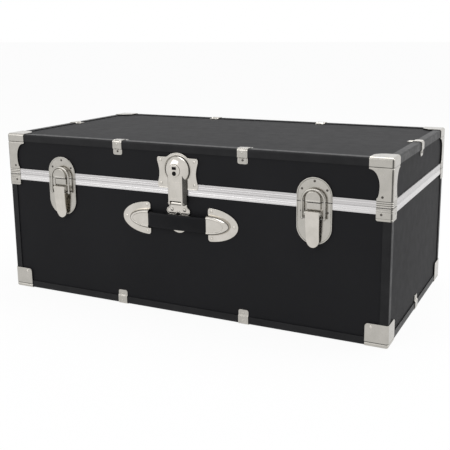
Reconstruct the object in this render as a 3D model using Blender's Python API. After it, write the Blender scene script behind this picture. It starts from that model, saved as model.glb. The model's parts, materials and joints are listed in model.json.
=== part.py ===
"""Footlocker: a flat-topped trunk of vinyl-covered boards with nickelled hardware.

Metres, +Z up, the front looks along -Y and the length runs along X. The trunk stands on its
corners at z = 0. All pieces hang under the empty "trunk"; what opens hangs under an empty that
sits on the axis of its joint.

Two kinds of measure are used for place. An inset runs inwards from the outermost plane of the
trunk, the one that the metal corners touch. A stand-off runs outwards from the face of the boards.
"""

from math import asin, cos, degrees, pi, radians, sin, sqrt

import bmesh
import bpy
from mathutils import Matrix, Vector

# Whole trunk, over its metal corners
LENGTH = 0.762
DEPTH = 0.406
HEIGHT = 0.311
LID_HEIGHT = 0.0796
CLEARANCE = 0.0003
RUNNING_CLEARANCE = 0.00045
EDGE_RADIUS = 0.0040

# Boards, binding and rails
BOARD = 0.0060
TRIM_GAUGE = 0.0015
METAL_GAUGE = 0.0010
BINDING_WIDTH = 0.0140
RAIL_HEIGHT = 0.0106
TONGUE_GAUGE = 0.0010
TONGUE_GAP = 0.0006
TONGUE_HEIGHT = 0.0060

# Corners and clamps
LID_CORNER_REACH = 0.0395
LID_CORNER_SHOULDER = 0.0190
LID_CORNER_WAIST = 0.0220
LID_CORNER_FOOT = 0.0265
LID_CORNER_FOOT_HEIGHT = 0.0145
BASE_CORNER_REACH = 0.0395
BASE_CORNER_HEIGHT = 0.0400
BASE_CORNER_ROUND = 0.0080
FLANGE_ROUND = 0.0200
WAIST_SHARE = 0.58
RAIL_CORNER_REACH = 0.0265
RAIL_CORNER_HEIGHT = 0.0210
CLAMP_WIDTH = 0.0190
CLAMP_LEG = 0.0270
CLAMP_STEP = 0.0020
CLAMP_INSET = 0.2560

# Draw-bolt latches
LATCH_INSET = 0.1280
LATCH_WIDTH = 0.0610
LATCH_RISE = 0.0406
LATCH_DROP = 0.0714
PLATE_GAUGE = 0.0012
CATCH_WIDTH = 0.0260
CATCH_RISE = 0.0188
CATCH_STAND = 0.0077
FRONT_EDGE_ROUND = 0.0010
LEVER_PIVOT_DROP = 0.0184
LEVER_WIDTH = 0.0240
LEVER_TIP_WIDTH = 0.0170
LEVER_LENGTH = 0.0566
LEVER_SWEEP = ((0.36, 0.0010), (0.58, 0.0022), (0.80, 0.0042), (0.92, 0.0048), (1.00, 0.0040))
LEVER_TAPER = (0.22, 0.62)
LEVER_GAUGE = 0.0022
KNUCKLE_RADIUS = 0.0050
LEVER_PIN_RADIUS = 0.0015
EAR_GAUGE = 0.0015
EAR_RADIUS = 0.0044
BRIDGE_STAND = 0.0042
BAIL_PIN_DROP = 0.0075
BAIL_PIN_RADIUS = 0.0014
BAIL_BOSS_WALL = 0.0018
BAIL_PIN_GRIP = 0.0035
BAIL_WIRE = 0.0035
BAIL_DEPTH = 0.0045
BAIL_SIDE_GAP = 0.0037
BAIL_TOP_GAP = 0.0009

# Centre lock and hasp
LOCK_WIDTH = 0.0770
LOCK_EAR_RISE = 0.0556
LOCK_EAR_HEIGHT = 0.0070
LOCK_EAR_INSET = 0.0025
LOCK_WAIST_SAG = 0.0040
LOCK_BELL_MARGIN = 0.0055
HEAD_RISE = 0.0342
HEAD_RADIUS = 0.0245
HASP_NECK_WIDTH = 0.0370
HASP_STAND = 0.0140
HASP_GAUGE = 0.0012
HASP_EDGE_ROUND = 0.0040
HASP_PIVOT_DROP = 0.0249
HASP_PIVOT_RADIUS = 0.0036
HASP_PIN_RADIUS = 0.0016
HASP_SLOT = 0.0040
FOOT_TOP_DROP = 0.0200
FOOT_DROP = 0.0469
FOOT_WIDTH = 0.0470
FOOT_NECK_WIDTH = 0.0350
FOOT_KNUCKLE_WIDTH = 0.0220
FOOT_LOBE = 0.0075
FOOT_NOTCH_WIDTH = 0.0030
FOOT_NOTCH_RISE = 0.0050
TONGUE_WIDTH = 0.0310
TONGUE_DROP = 0.0789
PLUG_RADIUS = 0.0110
PLUG_FLANGE_RADIUS = 0.0130
PLUG_FLANGE_GAUGE = 0.0019
PLUG_PROUD = 0.0012
PLUG_BACK = 0.0087
PLUG_EDGE_ROUND = 0.0006
KEY_HOLE_RADIUS = 0.0026
KEY_HOLE_DROP = 0.0049
KEY_SLOT_WIDTH = 0.0050
KEY_SLOT_HEIGHT = 0.0034
KEY_SLOT_RISE = 0.0043
KEY_DEPTH = 0.0055
BOLT_WIDTH = 0.0070
BOLT_GAUGE = 0.0028
BOLT_LENGTH = 0.0180
KEEPER_GAUGE = 0.0013
KEEPER_HEIGHT = 0.0030
KEEPER_SETBACK = 0.0010

# Carrying handle
GRIP_SPAN = 0.1170
GRIP_HEIGHT = 0.0275
GRIP_THICKNESS = 0.0070
GRIP_STAND = 0.0145
GRIP_BOW = 0.0035
GRIP_EDGE_ROUND = 0.0025
GRIP_CENTRE_DROP = 0.0588
TANG_LENGTH = 0.0160
TANG_HEIGHT = 0.0230
TANG_GAUGE = 0.0020
CAP_LENGTH = 0.0578
CAP_HEIGHT = 0.0600
CAP_FLANGE_GAUGE = 0.0020
POCKET_LENGTH = 0.0440
POCKET_HEIGHT = 0.0380
POCKET_STAND = 0.0120
POCKET_GAUGE = 0.0013
POCKET_EDGE_ROUND = 0.0040

# Back hinges
HINGE_INSET = 0.1510
LEAF_WIDTH = 0.0580
LEAF_HEIGHT = 0.0380
HINGE_KNUCKLE_RADIUS = 0.0032
HINGE_PIN_RADIUS = 0.0015
LEAF_ROUND = 0.0040

# Places worked out from the sizes above
PARTING = HEIGHT - LID_HEIGHT
TRIM_INSET = METAL_GAUGE + CLEARANCE
BOARD_INSET = TRIM_INSET + TRIM_GAUGE + CLEARANCE
SHELL_X = LENGTH / 2 - BOARD_INSET
SHELL_Y = DEPTH / 2 - BOARD_INSET
BINDING_REACH = TRIM_INSET + BINDING_WIDTH
BASE_RIM = PARTING - CLEARANCE / 2
LID_RIM = PARTING + CLEARANCE / 2
BASE_BOARD_TOP = BASE_RIM - TRIM_GAUGE - CLEARANCE
LID_BOARD_BOTTOM = LID_RIM + TRIM_GAUGE + CLEARANCE
TRIM_FACE = BOARD_INSET - TRIM_INSET
PLATE_BACK = TRIM_FACE + CLEARANCE
PLATE_FACE = PLATE_BACK + PLATE_GAUGE
SINK = PLATE_GAUGE / 2
LEVER_STAND = PLATE_FACE + CLEARANCE + KNUCKLE_RADIUS
LEVER_Z = PARTING - LEVER_PIVOT_DROP
BAIL_Z = LEVER_Z - BAIL_PIN_DROP
HEAD_Z = PARTING + HEAD_RISE
HASP_BACK = PLATE_FACE + CLEARANCE
HASP_PIVOT_STAND = HASP_BACK + HASP_PIVOT_RADIUS
HASP_PIVOT_Z = PARTING - HASP_PIVOT_DROP
GRIP_Z = PARTING - GRIP_CENTRE_DROP
HINGE_STAND = PLATE_BACK + CLEARANCE + HINGE_KNUCKLE_RADIUS
PLUG_FRONT = HASP_STAND + PLUG_PROUD
FRONT_REACH = max(PLUG_FRONT, GRIP_STAND, LEVER_STAND + KNUCKLE_RADIUS)
CARCASS_Y = (FRONT_REACH - HINGE_STAND - HINGE_KNUCKLE_RADIUS) / 2

NICKEL = ("nickel", (0.62, 0.58, 0.54), 0.22, 1.0)
RAIL_METAL = ("rail_metal", (0.75, 0.74, 0.74), 0.35, 1.0)
VINYL = ("black_vinyl", (0.018, 0.018, 0.020), 0.45, 0.0)
FIBRE = ("black_fibre", (0.012, 0.012, 0.013), 0.50, 0.0)
GRIP_PLASTIC = ("grip_plastic", (0.010, 0.010, 0.011), 0.38, 0.0)
STEEL = ("pin_steel", (0.50, 0.50, 0.50), 0.35, 1.0)


# Scene, materials and objects


def clear_scene():
    for old in list(bpy.data.objects):
        bpy.data.objects.remove(old, do_unlink=True)


def finish(spec):
    """The material for a finish, made once."""
    name, colour, roughness, metallic = spec
    made = bpy.data.materials.get(name)
    if made is None:
        made = bpy.data.materials.new(name)
        made.use_nodes = True
        shader = made.node_tree.nodes["Principled BSDF"]
        shader.inputs["Base Color"].default_value = (*colour, 1.0)
        shader.inputs["Roughness"].default_value = roughness
        shader.inputs["Metallic"].default_value = metallic
    return made


def axis_empty(name, place, parent=None):
    """An empty at a place of the trunk's frame, on which a moving piece turns or slides."""
    empty = bpy.data.objects.new(name, None)
    bpy.context.scene.collection.objects.link(empty)
    empty["place"] = place
    if parent is None:
        empty.location = place
    else:
        empty.parent = parent
        empty.location = Vector(place) - Vector(parent["place"])
    return empty


def add_object(name, bm, parent, spec=None):
    """An object whose mesh is written in the trunk's frame, hung under an empty."""
    bmesh.ops.recalc_face_normals(bm, faces=bm.faces)
    mesh = bpy.data.meshes.new(name)
    bm.to_mesh(mesh)
    bm.free()
    made = bpy.data.objects.new(name, mesh)
    bpy.context.scene.collection.objects.link(made)
    made.parent = parent
    made.location = -Vector(parent["place"])
    if spec is not None:
        mesh.materials.append(finish(spec))
        mesh.shade_smooth()
        mesh.set_sharp_from_angle(angle=radians(35))
    return made


def combine(piece, operation, bm, label):
    """Join a shape to a piece, cut it away or keep what they share."""
    helper = add_object(f"{piece.name}_{label}", bm, piece.parent)
    helper.hide_render = True
    helper.display_type = "WIRE"
    step = piece.modifiers.new(label, "BOOLEAN")
    step.operation = operation
    step.solver = "EXACT"
    step.object = helper


# Outlines


def arc(across, up, radius_across, radius_up, start, end, count):
    """Points on an elliptic arc, from one angle to another in degrees."""
    angles = [radians(start + (end - start) * step / count) for step in range(count + 1)]
    return [(across + radius_across * cos(a), up + radius_up * sin(a)) for a in angles]


def circle(across, up, radius, count=20):
    return arc(across, up, radius, radius, 0, 360, count)[:-1]


def rectangle(low_across, low_up, high_across, high_up):
    return [(low_across, low_up), (high_across, low_up), (high_across, high_up), (low_across, high_up)]


def mirrored(right_half):
    """A right half, read upwards, and its mirror image, read downwards."""
    return right_half + [(-across, up) for across, up in reversed(right_half) if across > 1e-9]


def rounded_rectangle(half_width, low, high, radius):
    right = arc(half_width - radius, low + radius, radius, radius, -90, 0, 4)
    right += arc(half_width - radius, high - radius, radius, radius, 0, 90, 4)
    return mirrored(right)


def shifted(outline, across):
    return [(point + across, up) for point, up in outline]


def keyhole(radius, half_neck, bottom, centre_up, count=24):
    """A round head on a straight neck."""
    drop = degrees(asin(sqrt(radius**2 - half_neck**2) / radius))
    head = arc(0, centre_up, radius, radius, -drop, 180 + drop, count)
    return [(-half_neck, bottom), (half_neck, bottom)] + head


# Directions in which an outline is drawn and then thickened


def on_front(across, up, stand):
    return Vector((across, -SHELL_Y - stand, up))


def on_back(across, up, stand):
    return Vector((across, SHELL_Y + stand, up))


def across_front(stand, up, across):
    return Vector((across, -SHELL_Y - stand, up))


def across_back(stand, up, across):
    return Vector((across, SHELL_Y + stand, up))


def from_above(across, stand, up):
    return Vector((across, -SHELL_Y - stand, up))


def thickened(outline, place, start, end):
    """An outline drawn in one direction's plane and extruded along that direction."""
    bm = bmesh.new()
    face = bm.faces.new([bm.verts.new(place(p, q, start)) for p, q in outline])
    grown = bmesh.ops.extrude_face_region(bm, geom=[face])
    moved = [item for item in grown["geom"] if isinstance(item, bmesh.types.BMVert)]
    bmesh.ops.translate(bm, verts=moved, vec=place(0, 0, end) - place(0, 0, start))
    return bm


def round_edges(bm, radius, segments, wanted):
    """Round the edges that a test on their two ends picks."""
    edges = [edge for edge in bm.edges if wanted(edge.verts[0].co, edge.verts[1].co)]
    bmesh.ops.bevel(bm, geom=edges, offset=radius, segments=segments, affect="EDGES", profile=0.5)


def round_face(bm, axis, level, radius, segments=3):
    """Round the edges of the flat face at one level of an axis."""
    round_edges(bm, radius, segments, lambda a, b: all(abs(v[axis] - level) < 1e-6 for v in (a, b)))


def block(low, high):
    bm = bmesh.new()
    size = Vector(high) - Vector(low)
    middle = (Vector(high) + Vector(low)) / 2
    bmesh.ops.create_cube(bm, size=1.0, matrix=Matrix.Translation(middle) @ Matrix.Diagonal((*size, 1)))
    return bm


def outer_points(points):
    """Profile points whose corners turn on the trunk's edge radius."""
    return [(inset, up, max(EDGE_RADIUS - inset, 0.0)) for inset, up in points]


def inner_points(points):
    """Profile points whose corners are square, against the boards."""
    return [(inset, up, 0.0) for inset, up in points]


def ring(profile, stations=(), arc_steps=3):
    """A closed band round the trunk, from a profile of insets, heights and corner radii.

    Stations are extra cuts at that distance from each end of each side.
    """
    half = (LENGTH / 2, DEPTH / 2)
    signs = [(1, 1), (-1, 1), (-1, -1), (1, -1)]
    sections = []
    for corner, (sign_x, sign_y) in enumerate(signs):
        along_y = [(half[0], half[1] - reach, "x") for reach in stations]
        along_x = [(half[0] - reach, half[1], "y") for reach in stations]
        before, after = (along_y, along_x) if corner % 2 == 0 else (along_x, along_y)
        for flat_x, flat_y, facing in before:
            sections.append([_flat(flat_x, flat_y, facing, sign_x, sign_y, p) for p in profile])
        for step in range(arc_steps + 1):
            turn = radians(90 * corner + 90 * step / arc_steps)
            sections.append([_turned(half, sign_x, sign_y, turn, p) for p in profile])
        for flat_x, flat_y, facing in after:
            sections.append([_flat(flat_x, flat_y, facing, sign_x, sign_y, p) for p in profile])
    bm = bmesh.new()
    loops = [[bm.verts.new(point) for point in section] for section in sections]
    for here, there in zip(loops, loops[1:] + loops[:1]):
        for index in range(len(profile)):
            after = (index + 1) % len(profile)
            bm.faces.new([here[index], here[after], there[after], there[index]])
    bmesh.ops.remove_doubles(bm, verts=bm.verts, dist=1e-6)
    bmesh.ops.dissolve_degenerate(bm, edges=bm.edges, dist=1e-6)
    return bm


def _flat(flat_x, flat_y, facing, sign_x, sign_y, point):
    inset, up, _ = point
    if facing == "x":
        return Vector((sign_x * (flat_x - inset), sign_y * flat_y, up))
    return Vector((sign_x * flat_x, sign_y * (flat_y - inset), up))


def _turned(half, sign_x, sign_y, turn, point):
    inset, up, radius = point
    centre_x = sign_x * (half[0] - inset - radius)
    centre_y = sign_y * (half[1] - inset - radius)
    return Vector((centre_x + radius * cos(turn), centre_y + radius * sin(turn), up))


# Carcass


def add_board(name, low, high, parent):
    return add_object(name, block(low, high), parent, VINYL)


def add_walls(prefix, bottom, top, parent):
    """Front and back boards run the full length, and the side boards stand between them."""
    inner_x = SHELL_X - BOARD
    inner_y = SHELL_Y - BOARD
    between = inner_y - CLEARANCE
    add_board(f"{prefix}_front_board", (-SHELL_X, -SHELL_Y, bottom), (SHELL_X, -inner_y, top), parent)
    add_board(f"{prefix}_back_board", (-SHELL_X, inner_y, bottom), (SHELL_X, SHELL_Y, top), parent)
    add_board(f"{prefix}_left_board", (-SHELL_X, -between, bottom), (-inner_x, between, top), parent)
    add_board(f"{prefix}_right_board", (inner_x, -between, bottom), (SHELL_X, between, top), parent)


def add_flat_board(name, low, high, parent):
    """The bottom or the top board, which lies between the walls."""
    half_x = SHELL_X - BOARD - CLEARANCE
    half_y = SHELL_Y - BOARD - CLEARANCE
    add_board(name, (-half_x, -half_y, low), (half_x, half_y, high), parent)


def binding_profile(height_of):
    """The folded strip over a long edge, with its outer fold on the trunk's edge radius."""
    backing = BOARD_INSET - CLEARANCE
    fold = EDGE_RADIUS - TRIM_INSET
    outside = [(TRIM_INSET, BINDING_REACH)] + arc(EDGE_RADIUS, EDGE_RADIUS, fold, fold, 180, 270, 3)
    inside = [(BINDING_REACH, TRIM_INSET), (BINDING_REACH, backing), (backing, backing)]
    inside += [(backing, BINDING_REACH)]
    profile = outer_points(outside) + inner_points(inside)
    return [(inset, height_of(depth), radius) for inset, depth, radius in profile]


def add_base_binding(parent):
    """The bottom strips and the four posts, which run up to the rail, as one cage."""
    bm = ring(binding_profile(lambda depth: depth), stations=(BINDING_REACH,))
    post_top = BASE_RIM - RAIL_HEIGHT - CLEARANCE

    def on_post(face):
        middle = face.calc_center_median()
        near_end = abs(middle.x) > LENGTH / 2 - BINDING_REACH
        near_side = abs(middle.y) > DEPTH / 2 - BINDING_REACH
        level = all(abs(vert.co.z - BINDING_REACH) < 1e-6 for vert in face.verts)
        return near_end and near_side and level

    faces = [face for face in bm.faces if on_post(face)]
    edges = list({edge for face in faces for edge in face.edges})
    verts = list({vert for face in faces for vert in face.verts})
    grown = bmesh.ops.extrude_face_region(bm, geom=faces + edges + verts)
    moved = [item for item in grown["geom"] if isinstance(item, bmesh.types.BMVert)]
    bmesh.ops.translate(bm, verts=moved, vec=(0, 0, post_top - BINDING_REACH))
    add_object("base_edge_binding", bm, parent, FIBRE)


def add_lid_binding(parent):
    bm = ring(binding_profile(lambda depth: HEIGHT - depth))
    add_object("lid_edge_binding", bm, parent, FIBRE)


def add_base_rail(parent):
    """A leg on the face of the boards, a flange over their rim and a tongue inside the lid."""
    backing = BOARD_INSET - CLEARANCE
    tongue_out = BOARD_INSET + BOARD + TONGUE_GAP
    tongue_in = tongue_out + TONGUE_GAUGE
    leg_bottom = BASE_RIM - RAIL_HEIGHT
    inside = [(tongue_out, BASE_RIM), (tongue_out, PARTING + TONGUE_HEIGHT)]
    inside += [(tongue_in, PARTING + TONGUE_HEIGHT), (tongue_in, BASE_RIM - TRIM_GAUGE)]
    inside += [(backing, BASE_RIM - TRIM_GAUGE), (backing, leg_bottom)]
    outside = outer_points([(TRIM_INSET, leg_bottom), (TRIM_INSET, BASE_RIM)])
    add_object("base_rail", ring(outside + inner_points(inside)), parent, RAIL_METAL)


def add_lid_rail(parent):
    backing = BOARD_INSET - CLEARANCE
    flange_in = BOARD_INSET + BOARD
    leg_top = LID_RIM + RAIL_HEIGHT
    inside = [(backing, leg_top), (backing, LID_RIM + TRIM_GAUGE)]
    inside += [(flange_in, LID_RIM + TRIM_GAUGE), (flange_in, LID_RIM)]
    outside = outer_points([(TRIM_INSET, LID_RIM), (TRIM_INSET, leg_top)])
    add_object("lid_rail", ring(outside + inner_points(inside)), parent, RAIL_METAL)


# Corners and clamps


def corner_shell(leg, flange, sign_x, sign_y, sign_z, level):
    """The sheet of a three-sided corner: two legs and a flange that share its edges.

    A leg is an outline of distance along the edge and distance from the flange's plane.
    """
    bm = bmesh.new()

    def place(along_x, along_y, away):
        x, y = LENGTH / 2 - along_x, DEPTH / 2 - along_y
        return Vector((sign_x * x, sign_y * y, level + sign_z * away))

    bm.faces.new([bm.verts.new(place(p, 0, q)) for p, q in leg])
    bm.faces.new([bm.verts.new(place(0, p, q)) for p, q in leg])
    bm.faces.new([bm.verts.new(place(p, q, 0)) for p, q in flange])
    bmesh.ops.remove_doubles(bm, verts=bm.verts, dist=1e-6)
    bmesh.ops.recalc_face_normals(bm, faces=bm.faces)
    outwards = Vector((sign_x, sign_y, -sign_z))
    if sum(face.normal.dot(outwards) for face in bm.faces) < 0:
        bmesh.ops.reverse_faces(bm, faces=bm.faces)
    return bm


def add_corner(name, bm, parent):
    """A pressed corner: the sheet with its folds rounded and its gauge on the inner side."""
    folds = [edge for edge in bm.edges if len(edge.link_faces) == 2]
    bmesh.ops.bevel(bm, geom=folds, offset=EDGE_RADIUS, segments=3, affect="EDGES", profile=0.5)
    mesh = bpy.data.meshes.new(name)
    bm.to_mesh(mesh)
    bm.free()
    mesh.materials.append(finish(NICKEL))
    mesh.shade_smooth()
    mesh.set_sharp_from_angle(angle=radians(35))
    made = bpy.data.objects.new(name, mesh)
    bpy.context.scene.collection.objects.link(made)
    made.parent = parent
    made.location = -Vector(parent["place"])
    gauge = made.modifiers.new("gauge", "SOLIDIFY")
    gauge.thickness = METAL_GAUGE
    gauge.offset = -1.0
    gauge.use_even_offset = True


def flange_outline(reach):
    inner = arc(reach - FLANGE_ROUND, reach - FLANGE_ROUND, FLANGE_ROUND, FLANGE_ROUND, 0, 90, 4)
    return [(0, 0), (reach, 0)] + inner + [(0, reach)]


def lid_leg_outline():
    """Broad at the top, drawn in by a scallop to a waist, and wider again over the rail."""
    bottom = HEIGHT - LID_RIM
    foot_top = bottom - LID_CORNER_FOOT_HEIGHT
    sag = LID_CORNER_FOOT - LID_CORNER_WAIST
    rise = (foot_top - LID_CORNER_SHOULDER) * WAIST_SHARE
    waist = LID_CORNER_SHOULDER + rise
    width = LID_CORNER_REACH - LID_CORNER_WAIST
    upper = arc(LID_CORNER_REACH, waist, width, rise, -90, -180, 6)
    lower = arc(LID_CORNER_FOOT, waist, sag, foot_top - waist, 180, 90, 4)
    outline = [(0, 0), (LID_CORNER_REACH, 0)] + upper + lower[1:]
    return outline + [(LID_CORNER_FOOT, bottom), (0, bottom)]


def base_leg_outline():
    radius = BASE_CORNER_ROUND
    rounding = arc(BASE_CORNER_REACH - radius, BASE_CORNER_HEIGHT - radius, radius, radius, 0, 90, 4)
    return [(0, 0), (BASE_CORNER_REACH, 0)] + rounding + [(0, BASE_CORNER_HEIGHT)]


def folded_strip(reach_one, reach_two):
    """The section of a strip folded to a right angle on the trunk's edge radius, as two insets."""
    inner = EDGE_RADIUS - METAL_GAUGE
    outside = [(0, reach_one)] + arc(EDGE_RADIUS, EDGE_RADIUS, EDGE_RADIUS, EDGE_RADIUS, 180, 270, 3)
    inside = arc(EDGE_RADIUS, EDGE_RADIUS, inner, inner, 270, 180, 3)
    return outside + [(reach_two, 0), (reach_two, METAL_GAUGE)] + inside + [(METAL_GAUGE, reach_one)]


def clamp_section():
    """A folded strip whose legs step down from the binding to the boards."""
    drop = BOARD_INSET - CLEARANCE - METAL_GAUGE
    step_start = BINDING_REACH + CLEARANCE
    step_end = step_start + CLAMP_STEP
    inner = EDGE_RADIUS - METAL_GAUGE
    outer_leg = [(drop, CLAMP_LEG), (drop, step_end), (0, step_start)]
    inner_leg = [(METAL_GAUGE, step_start), (drop + METAL_GAUGE, step_end), (drop + METAL_GAUGE, CLAMP_LEG)]
    outside = outer_leg + arc(EDGE_RADIUS, EDGE_RADIUS, EDGE_RADIUS, EDGE_RADIUS, 180, 270, 3)
    outside += [(q, p) for p, q in reversed(outer_leg)]
    inside = [(q, p) for p, q in reversed(inner_leg)]
    inside += arc(EDGE_RADIUS, EDGE_RADIUS, inner, inner, 270, 180, 3) + inner_leg
    return outside + inside


def add_corners(base, lid):
    sides = [("front", -1), ("back", 1)]
    ends = [("left", -1), ("right", 1)]
    for side, sign_y in sides:
        for end, sign_x in ends:
            where = f"{side}_{end}"
            flange = flange_outline(LID_CORNER_REACH)
            sheet = corner_shell(lid_leg_outline(), flange, sign_x, sign_y, -1, HEIGHT)
            add_corner(f"lid_corner_{where}", sheet, lid)
            flange = flange_outline(BASE_CORNER_REACH)
            sheet = corner_shell(base_leg_outline(), flange, sign_x, sign_y, 1, 0)
            add_corner(f"base_corner_{where}", sheet, base)
            add_rail_corner(f"rail_corner_{where}", sign_x, sign_y, base)


def add_rail_corner(name, sign_x, sign_y, base):
    def plan(inset_x, inset_y, up):
        return Vector((sign_x * (LENGTH / 2 - inset_x), sign_y * (DEPTH / 2 - inset_y), up))

    section = folded_strip(RAIL_CORNER_REACH, RAIL_CORNER_REACH)
    bm = thickened(section, plan, BASE_RIM - RAIL_CORNER_HEIGHT, BASE_RIM)
    add_object(name, bm, base, NICKEL)


def add_clamp(name, middle, facing, sign, level, sign_z, parent):
    """A clamp over a long edge. It faces X or Y, and sits in the middle of its width."""

    def place(inset, depth, along):
        up = level + sign_z * depth
        if facing == "y":
            return Vector((along, sign * (DEPTH / 2 - inset), up))
        return Vector((sign * (LENGTH / 2 - inset), along, up))

    bm = thickened(clamp_section(), place, middle - CLAMP_WIDTH / 2, middle + CLAMP_WIDTH / 2)
    add_object(name, bm, parent, NICKEL)


def add_clamps(prefix, level, sign_z, parent):
    for side, sign in (("front", -1), ("back", 1)):
        for end, direction in (("left", -1), ("right", 1)):
            middle = direction * (LENGTH / 2 - CLAMP_INSET)
            add_clamp(f"{prefix}_clamp_{side}_{end}", middle, "y", sign, level, sign_z, parent)
    for end, sign in (("left", -1), ("right", 1)):
        add_clamp(f"{prefix}_clamp_{end}", 0.0, "x", sign, level, sign_z, parent)


# Latches


def trim_cutter(low, high, half_width, middle=0.0):
    """The space behind a plate that the rail or the binding passes through."""
    outline = shifted(rectangle(-half_width, low, half_width, high), middle)
    return thickened(outline, on_front, 0.0, PLATE_BACK)


def add_catch_plate(name, middle, lid):
    half = LATCH_WIDTH / 2
    right = [(half, LID_RIM)] + arc(0, PARTING + LATCH_RISE - half, half, half, 0, 90, 8)
    bm = thickened(shifted(mirrored(right), middle), on_front, CLEARANCE, PLATE_FACE)
    plate = add_object(name, bm, lid, NICKEL)
    rail_top = LID_RIM + RAIL_HEIGHT + CLEARANCE
    combine(plate, "DIFFERENCE", trim_cutter(LID_RIM - SINK, rail_top, LATCH_WIDTH, middle), "rail_space")
    radius = CATCH_WIDTH / 2
    right = [(radius, LID_RIM + SINK)] + arc(0, PARTING + CATCH_RISE - radius, radius, radius, 0, 90, 6)
    boss = thickened(shifted(mirrored(right), middle), on_front, PLATE_FACE - SINK, PLATE_FACE + CATCH_STAND)
    round_face(boss, 1, -SHELL_Y - PLATE_FACE - CATCH_STAND, FRONT_EDGE_ROUND, 2)
    combine(plate, "UNION", boss, "catch")


def ear_outline():
    """The side of an ear: rounded about the lever's pin and rooted in the plate."""
    right = arc(LEVER_STAND, LEVER_Z, EAR_RADIUS, EAR_RADIUS, -90, 90, 8)
    return [(PLATE_FACE - SINK, LEVER_Z - EAR_RADIUS)] + right + [(PLATE_FACE - SINK, LEVER_Z + EAR_RADIUS)]


def add_latch_base(name, middle, base):
    half = LATCH_WIDTH / 2
    curve = arc(0, PARTING - LATCH_DROP + half, half, half, -90, 0, 8)
    bm = thickened(shifted(mirrored(curve + [(half, BASE_RIM)]), middle), on_front, CLEARANCE, PLATE_FACE)
    plate = add_object(name, bm, base, NICKEL)
    rail_bottom = BASE_RIM - RAIL_HEIGHT - CLEARANCE
    combine(plate, "DIFFERENCE", trim_cutter(rail_bottom, BASE_RIM + SINK, LATCH_WIDTH, middle), "rail_space")
    bridge_low = LEVER_Z + KNUCKLE_RADIUS + LEVER_PIN_RADIUS
    outline = shifted(rectangle(-LEVER_WIDTH / 2, bridge_low, LEVER_WIDTH / 2, BASE_RIM - SINK), middle)
    bridge = thickened(outline, on_front, PLATE_FACE - SINK, PLATE_FACE + BRIDGE_STAND)
    combine(plate, "UNION", bridge, "bridge")
    ear_inner = LEVER_WIDTH / 2 + CLEARANCE
    for side, sign in (("left", -1), ("right", 1)):
        start = middle + sign * ear_inner
        ear = thickened(ear_outline(), across_front, start, start + sign * EAR_GAUGE)
        combine(plate, "UNION", ear, f"{side}_ear")
    pin_half = ear_inner + EAR_GAUGE / 2
    outline = circle(LEVER_STAND, LEVER_Z, LEVER_PIN_RADIUS, 12)
    pin = thickened(outline, across_front, middle - pin_half, middle + pin_half)
    combine(plate, "UNION", pin, "pin")


def lever_side():
    """The lever seen from its side: a knuckle, a boss for the bail and a long tail."""
    out = LEVER_STAND + KNUCKLE_RADIUS
    swept = [(out - back, LEVER_Z - share * LEVER_LENGTH) for share, back in LEVER_SWEEP]
    outer = [(out, LEVER_Z)] + swept
    inner = [(point - LEVER_GAUGE, up) for point, up in reversed(swept)]
    boss_radius = BAIL_PIN_RADIUS + BAIL_BOSS_WALL
    boss = arc(LEVER_STAND, BAIL_Z, boss_radius, boss_radius, -60, -180, 5)
    knuckle = arc(LEVER_STAND, LEVER_Z, KNUCKLE_RADIUS, KNUCKLE_RADIUS, 200, 0, 10)
    return outer + inner + boss + knuckle[:-1]


def lever_front():
    """The lever seen from the front: it tapers to a rounded tongue."""
    tip = LEVER_Z - LEVER_LENGTH
    tip_half = LEVER_TIP_WIDTH / 2
    broad, narrow = (LEVER_Z - share * LEVER_LENGTH for share in LEVER_TAPER)
    right = arc(0, tip + tip_half, tip_half, tip_half, -90, 0, 6)
    right += [(tip_half, narrow), (LEVER_WIDTH / 2, broad)]
    right += [(LEVER_WIDTH / 2, LEVER_Z + 2 * KNUCKLE_RADIUS)]
    return mirrored(right)


def add_lever(name, middle, axis):
    half = LEVER_WIDTH / 2
    side = thickened(lever_side(), across_front, middle - half, middle + half)
    lever = add_object(name, side, axis, NICKEL)
    front = thickened(shifted(lever_front(), middle), on_front, 0.0, 2 * LEVER_STAND)
    combine(lever, "INTERSECT", front, "outline")
    for label, up, radius in (("pivot", LEVER_Z, LEVER_PIN_RADIUS), ("bail", BAIL_Z, BAIL_PIN_RADIUS)):
        outline = circle(LEVER_STAND, up, radius + RUNNING_CLEARANCE, 16)
        bore = thickened(outline, across_front, middle - LEVER_WIDTH, middle + LEVER_WIDTH)
        combine(lever, "DIFFERENCE", bore, f"{label}_bore")


def add_bail(name, middle, axis):
    """A loop from the lever, outside its ears, round the catch."""
    inner = LEVER_WIDTH / 2 + CLEARANCE + EAR_GAUGE + BAIL_SIDE_GAP
    outer = inner + BAIL_WIRE
    centre = PARTING + CATCH_RISE + BAIL_TOP_GAP - inner
    bottom = BAIL_Z - BAIL_PIN_RADIUS - BAIL_WIRE / 4
    outline = [(outer, bottom)] + arc(0, centre, outer, outer, 0, 180, 14) + [(-outer, bottom)]
    outline += [(-inner, bottom)] + arc(0, centre, inner, inner, 180, 0, 14) + [(inner, bottom)]
    near = LEVER_STAND - BAIL_DEPTH / 2
    far = LEVER_STAND + BAIL_DEPTH / 2
    bm = thickened(shifted(outline, middle), on_front, near, far)
    round_face(bm, 1, -SHELL_Y - far, FRONT_EDGE_ROUND, 2)
    bail = add_object(name, bm, axis, NICKEL)
    for side, sign in (("left", -1), ("right", 1)):
        start = middle + sign * (LEVER_WIDTH / 2 - BAIL_PIN_GRIP)
        end = middle + sign * (inner + BAIL_WIRE / 2)
        pin = thickened(circle(LEVER_STAND, BAIL_Z, BAIL_PIN_RADIUS, 12), across_front, start, end)
        combine(bail, "UNION", pin, f"{side}_pin")


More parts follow.
